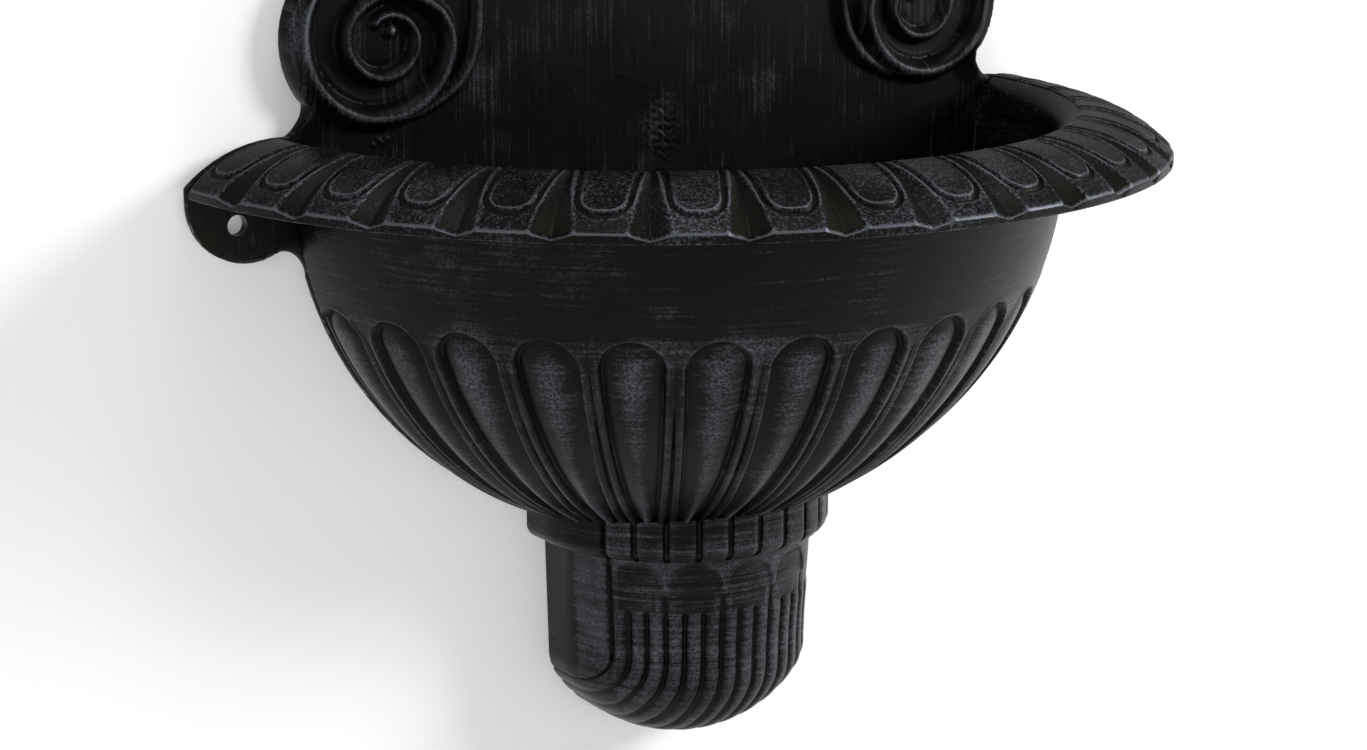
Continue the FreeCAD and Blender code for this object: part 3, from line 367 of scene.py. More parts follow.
cast = cast_material("cast_patina", 1.0, 0.0)
cast_rim = cast_material("cast_patina_rim", 0.12, 2.4)
cast_bowl = cast_material("cast_patina_bowl", 0.75, 0.5)
brass = metal_material("aged_brass", (0.46, 0.31, 0.125), (0.13, 0.085, 0.04), 0.24, 0.52,
                       (1.0, 1.0, 6.0), 240.0)
steel = metal_material("brushed_steel", (0.56, 0.57, 0.58), (0.3, 0.3, 0.3), 0.22, 0.42,
                       (1.0, 1.0, 9.0), 300.0)
rubber = matt_material("black_rubber", (0.011, 0.011, 0.012), (0.028, 0.028, 0.029), 0.72, 900.0, 0.35)
fibre = matt_material("red_fibre", (0.19, 0.052, 0.032), (0.31, 0.1, 0.06), 0.8, 1300.0, 0.5)
plastic = matt_material("black_plastic", (0.014, 0.014, 0.015), (0.03, 0.03, 0.031), 0.45, 1100.0, 0.2)

FINISH = {"cast_metal": cast, "aged_brass": brass, "stainless": steel, "rubber": rubber,
          "fibre": fibre, "plastic": plastic}
for part in frame["record"]["subparts"]:
    mesh = nodes[part["node"]].data
    mesh.materials.clear()
    mesh.materials.append(FINISH[part["material_slot"]])

# ---------------------------------------------------------------- basin

bowl = oval(BOWL_R, BOWL_MID_Z, BOWL_DEPTH, SIDE_R)


def fan(section, cols):
    """Points of a section swept about Z, cut off at the basin's back plane, and their angles."""
    r = section[:, 0][:, None]
    end = np.arccos(np.clip(BASIN_BACK / np.maximum(r, BASIN_BACK), 0.0, 1.0))
    return r, end * np.linspace(-1.0, 1.0, cols)[None, :]


def leaf_relief(r, turn):
    """Height over the rim's plain top, and the wear with a painted highlight along the outer edge, at a
    radius and an angle from the front.
    """
    pitch = math.pi / LEAVES
    half = pitch / 2 * r
    across = np.abs(((turn + math.pi / 2) % pitch - pitch / 2) * r)
    valley_w = np.interp(r, [CREST_R, 181.0, 199.0, RIM_R], [1.0, 1.3, 3.7, 8.2])
    valley_d = np.interp(r, [CREST_R, 181.0, 199.0, RIM_R], [0.55, 0.8, 2.4, 3.7])
    away = np.hypot(half - across, 0.35) - 0.35
    x = 1.0 - away / valley_w
    v = 0.5 * (x + np.sqrt(x * x + 0.012)) - 0.5 * (np.sqrt(1.012) - 1.0)
    v = np.clip(v, 0.0, 1.0)
    # the U-shaped groove round the tongue
    side = np.interp(r, [CREST_R, TONGUE_R], [10.9, 9.7])
    out, along = across - side + TONGUE_CORNER, r - TONGUE_R + TONGUE_CORNER
    d = np.hypot(np.maximum(out, 0.0), np.maximum(along, 0.0)) + np.minimum(np.maximum(out, along), 0.0)
    d = d - TONGUE_CORNER
    groove = step(1.25, 0.45, np.abs(d))
    lip_in, lip_out = bump(d + 1.75, 0.6), bump(d - 1.75, 0.6)
    tongue = step(-0.6, -2.4, d)
    shoulder = bump(half - across - valley_w - 0.3, 0.9)
    height = -valley_d * v - 1.05 * groove + 0.3 * lip_in + 0.12 * lip_out + 0.38 * tongue + 0.28 * shoulder
    wear = 0.33 + 0.42 * shoulder + 0.16 * lip_out - 0.05 * tongue
    wear = wear * (1.0 - 0.9 * groove) * (1.0 - step(0.06, 0.3, v) * 0.86)
    wear = wear + 0.62 * lip_in * step(194.0, 206.0, r)
    # painted highlight: a bright line along the rim's outer edge, on top of the rubbed paint
    wear = wear + bump(r - RIM_R + 0.15, 0.6) * 0.9
    return height, np.clip(wear, 0.0, 1.0)


def make_rim(cols):
    shell = Shell()
    edge_r = RIM_R - FACET
    top = arc3((CREST_R, 0.0), ((CREST_R + RIM_R) / 2 - 1.0, -0.22 * RIM_DROP), (edge_r, -RIM_DROP), 104)
    top = np.array(top)
    up = normals(top)
    up *= np.sign(up[:, 1:2])
    r, turn = fan(top, cols)
    height, wear = leaf_relief(r, turn)
    rr = r + height * up[:, 0:1]
    zz = top[:, 1:2] + height * up[:, 1:2]
    # the crest is rounded, and so is the edge
    inward = step(3.0, 0.0, run_length(top))[:, None]
    zz = zz - 0.7 * inward ** 2
    last = step(1.6, 0.0, run_length(top)[-1] - run_length(top))[:, None]
    zz = zz - 0.55 * last ** 2
    edge_top, low = zz[-1], -(RIM_DROP + EDGE_T)
    rows_r, rows_z, rows_w = [rr], [zz], [wear]
    for k in np.linspace(0.12, 1.0, 7)[None, :].T:
        bulge = 0.0 if k < 0.99 else -0.35
        rows_r.append(np.full((1, cols), edge_r) + bulge)
        rows_z.append((edge_top + (low - edge_top) * k)[None, :])
        # the last row, at the front face's lower edge, gets a painted highlight line; the face above keeps
        # black paint
        rows_w.append(np.full((1, cols), 0.2 + 0.4 * bump(k[0] - 1.0, 0.1)))
    under_in = RIM_R - 31.0
    under_z = -0.22 * RIM_DROP - 6.0
    below = arc3((RIM_R - EDGE_T, low), (BOWL_R + 24.0, under_z - 2.8), (under_in, under_z), 16)
    below += arc3((under_in, under_z), (BOWL_R + 3.5, under_z - 2.0), (BOWL_R, BOWL_MID_Z - 4.0), 12)[1:]
    below += [(BOWL_R - 1.0, BOWL_MID_Z + 0.2), (BOWL_R - WALL_T, BOWL_MID_Z)]
    below += arc3((BOWL_R - WALL_T, BOWL_MID_Z), (BOWL_R - 1.4, BOWL_MID_Z / 3.2), (CREST_R, -0.9), 20)[1:]
    below = np.array(below)
    r2, turn2 = fan(below, cols)
    rows_r.append(np.broadcast_to(r2, turn2.shape))
    rows_z.append(np.broadcast_to(below[:, 1:2], turn2.shape))
    rows_w.append(np.full(turn2.shape, 0.12))
    R, Z, W = np.vstack(rows_r), np.vstack(rows_z), np.vstack(rows_w)
    T = np.vstack([turn, np.broadcast_to(turn[-1], (7, cols)), turn2])
    points = np.stack([R * np.sin(T), -R * np.cos(T), Z], -1)
    path = run_length(np.stack([R[:, cols // 2], Z[:, cols // 2]], -1))
    flow = np.stack([T * 200.0 * MM, np.broadcast_to(path[:, None] * MM, T.shape)], -1)
    index = shell.grid(points, W, flow, loop=True)
    return shell.ends(index)


def flute_relief(run, r, turn):
    """Depth and wear of the bowl's flutes. run is the length below the flutes' tops."""
    pitch = FLUTE_PITCH
    half = pitch / 2 * r
    a = np.abs(((turn + pitch / 2) % pitch - pitch / 2) * r)
    wide = half - FLUTE_RIB
    top_w = pitch / 2 * FLUTE_TOP_R - FLUTE_RIB
    inner = wide - np.hypot(a, np.maximum(top_w - run, 0.0))
    recess = step(0.0, 1.5, inner)
    rise = np.clip((inner - 1.7) / np.maximum(wide - 1.7, 0.5), 0.0, 1.0)
    sharp = np.interp(run, [10.0, 60.0, 120.0], [2.6, 1.7, 1.15])
    bar = 1.0 - (1.0 - rise) ** sharp
    crest = np.interp(run, [0.0, 60.0, 120.0, 145.0], [2.2, 2.5, 3.2, 3.6])
    gap_w = np.interp(run, [8.0, 60.0, 130.0], [0.35, 0.7, 1.0])
    gap_d = np.interp(run, [4.0, 16.0, 60.0, 130.0], [0.0, 0.5, 1.5, 2.1])
    gap = bump(half - a, gap_w)
    lip = bump(inner + 0.7, 0.6)
    height = -2.7 * recess + crest * bar + 0.28 * lip - gap_d * gap
    below = step(-3.0, 1.0, run)
    core = np.interp(run, [0.0, 30.0, 75.0, 110.0, 145.0], [0.62, 0.5, 0.24, 0.3, 0.42])
    rubbed = np.interp(run, [0.0, 10.0, 60.0, 90.0, 125.0], [0.25, 0.42, 0.3, 0.3, 0.5])
    rub = bump(1.0 - rise, core) * recess * rubbed
    ridge = (1.0 - recess) * (1.0 - gap) * np.interp(run, [0.0, 30.0, 70.0], [0.14, 0.08, 0.0])
    wear = 0.15 + below * (0.12 + 1.38 * rub + ridge + 0.2 * lip * np.interp(run, [20.0, 80.0], [1.0, 0.3])
                           - 0.19 * recess * (1.0 - bar) - 0.25 * gap * (run > 12.0) - 0.05 * recess)
    return height * step(-4.0, -1.0, run), np.clip(wear, 0.0, 1.0)


def make_bowl(cols):
    shell = Shell()
    out = np.array(oval_points(bowl, 0.0, BOWL_MID_Z, BASE_Z + 1.6, 0.75))
    n = normals(out)
    n *= np.where(n[:, 0:1] < 0.0, -1.0, 1.0)
    path = run_length(out)
    start = np.interp(FLUTE_TOP_DROP, -out[:, 1], path)
    r, turn = fan(out, cols)
    height, wear = flute_relief(path[:, None] - start, r, turn)
    fade = step(3.0, 9.0, path)[:, None]
    R = r + height * fade * n[:, 0:1]
    Z = out[:, 1:2] + height * fade * n[:, 1:2]
    inner = oval_points(bowl, -WALL_T, BOWL_MID_Z, FLOOR_Z - 0.8, 2.5)[::-1]
    tail = np.array([(out[-1, 0] - 1.0, BASE_Z + 3.0)] + inner)
    r2, turn2 = fan(tail, cols)
    R = np.vstack([R, np.broadcast_to(r2, turn2.shape)])
    Z = np.vstack([Z, np.broadcast_to(tail[:, 1:2], turn2.shape)])
    T = np.vstack([turn, turn2])
    inner_wear = np.interp(tail[:, 1], [-170.0, -60.0, 0.0], [0.0, 0.12, 0.3])
    W = np.vstack([wear, np.broadcast_to(inner_wear[:, None], turn2.shape)])
    points = np.stack([R * np.sin(T), -R * np.cos(T), Z], -1)
    total = run_length(np.stack([R[:, cols // 2], Z[:, cols // 2]], -1))
    flow = np.stack([T * 150.0 * MM, np.broadcast_to(total[:, None] * MM, T.shape)], -1)
    index = shell.grid(points, W, flow, loop=True)
    return shell.ends(index)


def points_of(mesh):
    co = np.empty(len(mesh.vertices) * 3)
    mesh.vertices.foreach_get("co", co)
    return co.reshape(-1, 3)


def plate(name, outline, holes, z0, z1, to_world, material, bevel=0.0):
    """A flat plate with holes, drawn in the plane and laid where to_world puts it."""
    curve = bpy.data.curves.new(name, "CURVE")
    curve.dimensions, curve.fill_mode = "2D", "BOTH"
    for ring in [outline] + holes:
        spline = curve.splines.new("POLY")
        spline.points.add(len(ring) - 1)
        for p, (x, y) in zip(spline.points, ring):
            p.co = (x * MM, y * MM, 0.0, 1.0)
        spline.use_cyclic_u = True
    curve.extrude = (z1 - z0) / 2 * MM - bevel * MM
    curve.bevel_depth, curve.bevel_resolution = bevel * MM, 2
    curve.offset = -bevel * MM
    source = bpy.data.objects.new(name, curve)
    bpy.context.scene.collection.objects.link(source)
    bpy.context.view_layer.update()
    mesh = bpy.data.meshes.new_from_object(source)
    bpy.data.objects.remove(source)
    mesh.transform(to_world @ Matrix.Translation((0, 0, (z0 + z1) / 2 * MM)))
    co = points_of(mesh)
    flow = np.stack([co[:, 0] + co[:, 1] * 0.3, co[:, 2] + co[:, 1]], -1)
    return dress(mesh, name, material, np.full(len(co), 0.2), flow, 35.0)


def ring_of(r, x=0.0, y=0.0, n=64):
    return [(x + r * math.cos(2 * math.pi * k / n), y + r * math.sin(2 * math.pi * k / n)) for k in range(n)]


def half_disc(r, back, n=72):
    end = math.acos(back / r)
    return [(r * math.sin(t), -r * math.cos(t)) for t in np.linspace(-end, end, n)]


FLAT = Matrix.Identity(4)
UPRIGHT = Matrix.Rotation(math.pi / 2, 4, "X")

make_rim(2000).make("basin_rim", cast_rim, 55.0)
bowl_wall = make_bowl(1180).make("basin_bowl", cast_bowl, 55.0)
plate("basin_floor", half_disc(54.0, BASIN_BACK), [ring_of(DRAIN_HOLE_R, 0.0, DRAIN_Y)], BASE_Z, RECESS_Z,
      FLAT, cast)
plate("basin_floor_top", half_disc(53.0, BASIN_BACK), [ring_of(RECESS_R, 0.0, RECESS_Y)], RECESS_Z, FLOOR_Z,
      FLAT, cast)

# the flat strip inside the basin's back edge, and the two bosses under the rim
strip_out = oval_points(bowl, -WALL_T + 1.0, FLANGE_TOP_Z, FLOOR_Z - 1.0, 3.0)
strip_in = oval_points(bowl, -WALL_T - FLANGE_W, FLANGE_TOP_Z, FLANGE_LOW_Z, 3.0)
plate("basin_flange", strip_out + [(-x, z) for x, z in strip_out[::-1]] + [(-x, z) for x, z in strip_in]
      + strip_in[::-1], [], BASIN_BACK, BASIN_BACK + FLANGE_T, UPRIGHT, cast, 0.4)

for name, side in (("rim_boss_left", -1), ("rim_boss_right", 1)):
    turns = np.linspace(0, 2 * math.pi, 49)[None, :]
    lengths = BASIN_BACK + np.array([0.0, 12.8, 13.6, 14.0, 14.0])
    radii = np.array([BOSS_R, BOSS_R, 5.2, 4.5, 0.01])[:, None]
    boss = Shell()
    ring = np.stack([side * BOSS_X + radii * np.cos(turns), np.broadcast_to(-lengths[:, None], (5, 49)),
                     BOSS_Z + radii * np.sin(turns)], -1)
    boss.grid(ring, 0.1, np.stack([ring[..., 0] * MM, ring[..., 2] * MM], -1))
    boss.make(name, cast)

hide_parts("basin")

# ---------------------------------------------------------------- collar and pendant


def d_columns(step_deg, straight):
    """Across a half-round block: the turn about its axis, and how far behind the axis each column lies."""
    back = np.linspace(1.0, 0.0, straight + 1)[:-1]
    turn = np.arange(-90.0, 90.0 + step_deg / 2, step_deg)
    turns = np.concatenate([np.full(straight, -90.0), turn, np.full(straight, 90.0)])
    behind = np.concatenate([back, np.zeros(len(turn)), back[::-1]])
    return turns[None, :] * DEG, behind[None, :]


def d_points(R, Z, turns, behind):
    return np.stack([R * np.sin(turns), -D_AXIS - R * np.cos(turns) + behind * D_AXIS,
                     np.broadcast_to(Z, np.broadcast(R, turns).shape)], -1)


def make_collar():
    shell = Shell()
    turns, behind = d_columns(0.25, 6)
    foot_z = COLLAR_LOW + COLLAR_FOOT
    outer = [(54.0, COLLAR_TOP), (COLLAR_R - 2.0, COLLAR_TOP), (COLLAR_R - 0.7, COLLAR_TOP - 0.1),
             (COLLAR_R - 0.15, COLLAR_TOP - 0.5)]
    outer += [(COLLAR_R, z) for z in np.linspace(COLLAR_TOP - 1.2, foot_z, 30)]
    outer += arc3((COLLAR_R - 0.1, foot_z - 0.6), (COLLAR_R - 1.9, foot_z - 3.8),
                  (COLLAR_FOOT_R, COLLAR_LOW + 0.3), 12)
    outer += [(COLLAR_FOOT_R - 0.6, COLLAR_LOW), (50.0, COLLAR_LOW), (50.0, COLLAR_LOW + 6.0)]
    outer = np.array(outer)
    r, z = outer[:, 0:1], outer[:, 1:2]
    degrees = np.degrees(turns)
    field = step(BLOCK_FIELD + 1.5, BLOCK_FIELD, np.abs(degrees)) * (behind == 0.0)
    half = BLOCK_PITCH / 2
    across = np.abs((degrees + half + 360.0) % BLOCK_PITCH - half) * DEG * COLLAR_R
    shown = (r > 60.5) & (z > COLLAR_LOW + 0.1)
    cut = np.clip(1.0 - (across / SLOT_HALF) ** 2, 0.0, 1.0) ** 0.6 * field * shown
    block = np.clip(1.0 - across / (half * DEG * COLLAR_R), 0.0, 1.0)
    soft = 0.55 * np.clip((block - 0.45) / 0.3, 0.0, 1.0) ** 2 * field * shown
    R = np.broadcast_to(r, (len(outer), turns.shape[1])) - SLOT_DEPTH * cut - soft
    points = d_points(R, z, turns, behind)
    # the top runs up into the bowl
    under = oval_z(bowl, 0.0, np.hypot(points[..., 0], points[..., 1]))
    points[..., 2] += step(COLLAR_TOP - 8.0, COLLAR_TOP, z) * (under + 0.9 - COLLAR_TOP)
    # rubbed paint on the blocks, with painted highlights along the block edges beside the slots and along
    # the foot
    rub_and_highlight = 0.43 + 0.12 * bump(across - 2.6, 0.9) + 0.22 * bump(z - foot_z - 0.6, 2.2) - 0.6 * cut
    rub_and_highlight = np.where(field > 0.5, rub_and_highlight, 0.16)
    path = run_length(outer)
    flow = np.stack(np.broadcast_arrays(turns * COLLAR_R * MM, path[:, None] * MM), -1)
    index = shell.grid(points, np.clip(rub_and_highlight * shown, 0, 1), flow, loop=True)
    return shell.ends(index)


def pendant_relief(turn, r, z, tilt):
    """Depth and wear of the pendant's arches and reeds at an angle in degrees from the front.

    tilt is the outward part of the wall's direction: 1 on the upright wall and 0 underneath. The reeds
    stand upright on the wall and run straight back to the house wall underneath."""
    first = -REED_STEP * (REED_LINES - 1) / 2
    foot = z < TURN_Z + 7.0
    below = step(TURN_Z + 7.0, TURN_Z - 14.0, z)
    across = r * np.sin(turn * DEG) / (1.0 + 0.12 * below * np.sin(turn * DEG) ** 2)
    bearing = np.where(foot, np.degrees(np.arcsin(np.clip(across / PENDANT_LOW_R, -1.0, 1.0))), turn)
    k = np.clip(np.round((bearing - first) / REED_STEP), 0, REED_LINES - 1)
    line_x = PENDANT_LOW_R * np.sin((first + k * REED_STEP) * DEG)
    flat = np.sqrt(np.maximum(1.0 - (np.sin(turn * DEG) * tilt) ** 2, 0.04))
    near = np.where(foot, np.abs(across - line_x) / flat, np.abs(turn - first - k * REED_STEP) * DEG * r)
    main = (k % 3 == 0)
    end = (k == 0) | (k == REED_LINES - 1)
    field = np.abs(turn) <= -first + 0.5
    top = np.where(end, -170.0, np.where(main, -198.0, -206.0))
    open_z = step(0.0, 3.0, top - z)
    thin = np.where(foot, np.clip(np.abs(np.cos(bearing * DEG)) * 1.15, 0.5, 1.0), 1.0)
    line = bump(near, np.where(k == 1, 1.9, 1.35) * thin) * open_z
    pull = 0.35 + 0.65 * step(TURN_Z - PENDANT_DROP, TURN_Z - 24.0, z)
    b = (((turn - first) % (3 * REED_STEP)) - 1.5 * REED_STEP) * DEG * PENDANT_R
    half = 1.5 * REED_STEP * DEG * PENDANT_R
    arch = (half - 1.0) - np.hypot(b, np.maximum(z - ARCH_Z, 0.0))
    recess = step(-0.3, 1.2, arch) * field * step(ARCH_FOOT_Z, ARCH_FOOT_Z + 7.0, z)
    rib = bump(half - np.abs(b), 0.8) * field * step(-207.0, -203.0, z) * (z < -194.0)
    wide = REED_STEP * DEG * PENDANT_LOW_R / 2
    crown = 1.0 - np.minimum(wide, near) / wide
    shown = np.maximum(field, below)
    round_off = 0.7 * crown ** 2 * open_z * shown
    pull = pull * (1.0 - 0.75 * below * step(0.72, 0.93, np.abs(np.sin(turn * DEG))))
    height = (-1.35 * line - round_off) * pull - 0.8 * recess + 0.25 * rib
    wear = 0.11 + (0.42 + 0.26 * open_z * (1.0 - crown) ** 0.7) * np.where(turn < -61.0, shown * 0.5, shown)
    wear = wear - 0.4 * step(TURN_Z - 8.0, TURN_Z - 30.0, z)
    strip = step(-84.0, -78.0, turn) * step(-60.5, -63.5, turn) * (1.0 - below)
    wear = wear + 0.72 * strip - 0.08 * recess + 0.15 * rib
    spandrel = step(-0.2, -1.2, arch) * field * (z > ARCH_Z)
    wear = np.minimum(wear + 0.26 * spandrel, 0.8) - 0.6 * line
    return height, np.clip(wear, 0.0, 1.0)


def make_pendant():
    shell = Shell()
    turns, behind = d_columns(0.22, 12)
    foot = oval(PENDANT_LOW_R, TURN_Z, PENDANT_DROP, PENDANT_CORNER)
    fuller = PENDANT_FULLER * (1.0 - (turns / (90.0 * DEG)) ** 4)
    wall = [(PENDANT_R + (PENDANT_LOW_R - PENDANT_R) * t, COLLAR_LOW + (TURN_Z - COLLAR_LOW) * t)
            for t in np.linspace(0.0, 1.0, PENDANT_ROWS)]
    outer = np.array(wall + oval_points(foot, 0.0, TURN_Z, TURN_Z - PENDANT_DROP, 0.7)[1:])
    outer[-1, 0] = 0.02
    n = normals(outer)
    n[:PENDANT_ROWS] = (1.0, 0.0)
    n *= np.where(n[:, 0:1] + 0.001 * (n[:, 1:2] < 0) < 0.0, -1.0, 1.0)
    n[-1] = (0.0, -1.0)
    r, z = outer[:, 0:1], outer[:, 1:2]
    height, wear = pendant_relief(np.degrees(turns), r, z, n[:, 0:1])
    height = height * ((behind == 0.0) | (z < TURN_Z)) + fuller * step(-226.0, -190.0, z) * (behind == 0.0)
    R, Z = r + height * n[:, 0:1], z + height * n[:, 1:2]
    outside = d_points(np.maximum(R, 0.0), Z, turns, behind)
    path = run_length(outer)
    flow = np.stack(np.broadcast_arrays((turns + behind * 0.2) * 57.0 * MM, path[:, None] * MM), -1)
    a = shell.grid(outside, wear, flow)
    low_in = TURN_Z - PENDANT_DROP + PENDANT_T
    inner = [(PENDANT_R - PENDANT_T, COLLAR_LOW - 0.2), (PENDANT_LOW_R - PENDANT_T, TURN_Z)]
    inner += oval_points(foot, -PENDANT_T, TURN_Z, low_in, 3.0)[1:]
    inner = np.array(inner)
    inner[-1, 0] = 0.02
    inside = d_points(inner[:, 0:1], inner[:, 1:2], turns, behind)
    path2 = run_length(inner)
    flow2 = np.stack(np.broadcast_arrays(turns * 57.0 * MM, path2[:, None] * MM), -1)
    b = shell.grid(inside[::-1], 0.05, flow2[::-1])
    b = b[::-1]
    for col in (0, -1):
        ring = [int(i) for i in a[:, col]] + [int(i) for i in b[::-1, col]]
        shell.cap(ring, col == -1)
    return shell


collar = make_collar().make("collar_blocks", cast, 45.0)
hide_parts("collar_ring")
pendant = make_pendant().make("pendant_shell", cast, 60.0)
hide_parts("pendant")


def d_outline(r, back):
    turn = np.linspace(-90.0, 90.0, 97) * DEG
    arc = [(r * math.sin(t), -D_AXIS - r * math.cos(t)) for t in turn]
    return arc + [(r, -back), (-r, -back)]


plate("pendant_top", d_outline(PENDANT_R - 0.6, 0.3), [ring_of(DRAIN_HOLE_R, 0.0, DRAIN_Y)]
      + [ring_of(3.3, x, -24.0, 24) for x in (-36.0, 36.0)],
      COLLAR_LOW - PENDANT_TOP_T, COLLAR_LOW, FLAT, cast)

# ---------------------------------------------------------------- back panel


def face_loops(node, y):
    """The closed outlines of a node's flat face at a height along Y, the longest first."""
    mesh = nodes[node].data
    co = points_of(mesh) / MM
    mesh.calc_loop_triangles()
    tri = np.empty(len(mesh.loop_triangles) * 3, np.int32)
    mesh.loop_triangles.foreach_get("vertices", tri)
    tri = tri.reshape(-1, 3)
    flat = tri[np.all(np.abs(co[tri][:, :, 1] - y) < 1e-3, axis=1)]
    keys, index = {}, {}
    for i in np.unique(flat):
        key = (round(co[i, 0], 3), round(co[i, 2], 3))
        index[i] = keys.setdefault(key, len(keys))
    places = list(keys)
    ways = {}
    for t in flat:
        ids = [index[i] for i in t]
        for p, q in ((0, 1), (1, 2), (2, 0)):
            edge = (ids[p], ids[q])
            if (edge[1], edge[0]) in ways:
                del ways[(edge[1], edge[0])]
            else:
                ways[edge] = True
    follow = {a: b for a, b in ways}
    loops = []
    while follow:
        start, here = next(iter(follow.items()))
        del follow[start]
        ring = [start]
        while here != start:
            ring.append(here)
            here = follow.pop(here)
        loops.append([places[i] for i in ring])
    return sorted(loops, key=lambda ring: -run_length(ring)[-1])


def resample(ring, spacing):
    p = np.array(ring + ring[:1])
    s = run_length(p)
    n = max(12, int(s[-1] / spacing))
    t = np.linspace(0.0, s[-1], n, endpoint=False)
    t = np.unique(np.concatenate([t, s[:-1]]))
    keep = np.concatenate([[True], np.diff(t) > spacing * 0.25])
    return np.stack([np.interp(t[keep], s, p[:, 0]), np.interp(t[keep], s, p[:, 1])], -1)


def inside(points, ring):
    x, z = points[:, 0], points[:, 1]
    odd = np.zeros(len(points), bool)
    for (x0, z0), (x1, z1) in zip(ring, np.roll(ring, -1, axis=0)):
        if z0 == z1:
            continue
        crosses = ((z0 > z) != (z1 > z)) & (x < (x1 - x0) * (z - z0) / (z1 - z0) + x0)
        odd ^= crosses
    return odd


def nearest(points, line, reach):
    """Distance of points to the points of a line, and which is nearest. Far ones are left at reach."""
    best = np.full(len(points), reach)
    which = np.zeros(len(points), int)
    low, high = line.min(0) - reach, line.max(0) + reach
    pick = np.where(np.all((points > low) & (points < high), axis=1))[0]
    for start in range(0, len(pick), 4000):
        rows = pick[start:start + 4000]
        d = np.hypot(points[rows, 0][:, None] - line[:, 0], points[rows, 1][:, None] - line[:, 1])
        k = d.argmin(1)
        best[rows] = np.minimum(d[np.arange(len(rows)), k], reach)
        which[rows] = k
    return best, which


def strand(points, line, width, height, power=0.62):
    """A raised, rounded strand along a line, and how near its crest is.

    width and height may vary along the line."""
    line = np.asarray(line)
    d, k = nearest(points, line, 14.0)
    w = np.broadcast_to(width, len(line))[k]
    h = np.broadcast_to(height, len(line))[k]
    x = np.clip(1.0 - (d / w) ** 2, 0.0, 1.0)
    return h * x ** power, bump(d, 0.25 * w) * np.clip(h / 3.0, 0.0, 1.0)


def spiral(centre, stops, n=420):
    """Points about a centre through stops of turn in degrees and radius."""
    stops = np.array(stops)
    a = np.linspace(stops[0, 0], stops[-1, 0], n)
    r = catmull(stops[:, 0], stops[:, 1], a[1:-1])
    r = np.concatenate([stops[:1, 1], r, stops[-1:, 1]])
    return np.stack([centre[0] - r * np.cos(a * DEG), centre[1] - r * np.sin(a * DEG)], -1)


def smooth_line(stops, spacing=0.6):
    p = np.array(stops, float)
    s = run_length(p)
    t = np.arange(0.0, s[-1], spacing)
    return np.stack([catmull(s, p[:, axis], t) for axis in (0, 1)], -1)


def catmull(s, v, t):
    """A smooth curve through the values v at s, read at t."""
    slope = np.gradient(v, s)
    k = np.clip(np.searchsorted(s, t) - 1, 0, len(s) - 2)
    h = s[k + 1] - s[k]
    u = (t - s[k]) / h
    return ((2 * u ** 3 - 3 * u ** 2 + 1) * v[k] + (u ** 3 - 2 * u ** 2 + u) * h * slope[k]
            + (-2 * u ** 3 + 3 * u ** 2) * v[k + 1] + (u ** 3 - u ** 2) * h * slope[k + 1])


# the right volute: turn in degrees and radius of its coil, the strand that joins it from above, its eye
COIL = [(-100.0, 6.0), (-50.0, 11.6), (-19.0, 14.9), (7.0, 17.0), (50.0, 16.9), (92.0, 15.9),
        (130.0, 14.9), (170.0, 14.5), (215.0, 14.8), (259.0, 15.6), (290.0, 18.6), (322.0, 23.9),
        (342.0, 28.6), (362.0, 31.6), (390.0, 32.0), (450.0, 32.2), (500.0, 33.0), (560.0, 34.0),
        (620.0, 36.0), (660.0, 40.0), (690.0, 45.0)]
TAIL = [(84.4, 187.0), (90.4, 97.0), (91.0, 60.0), (92.2, 35.2), (94.9, 25.5), (100.1, 17.6),
        (109.7, 10.2), (121.0, 5.4), (134.0, 4.6)]
EYE = (130.6, 39.6)


def dome(away, radius, height, power):
    return height * np.clip(1.0 - (away / radius) ** 2, 0.0, 1.0) ** power


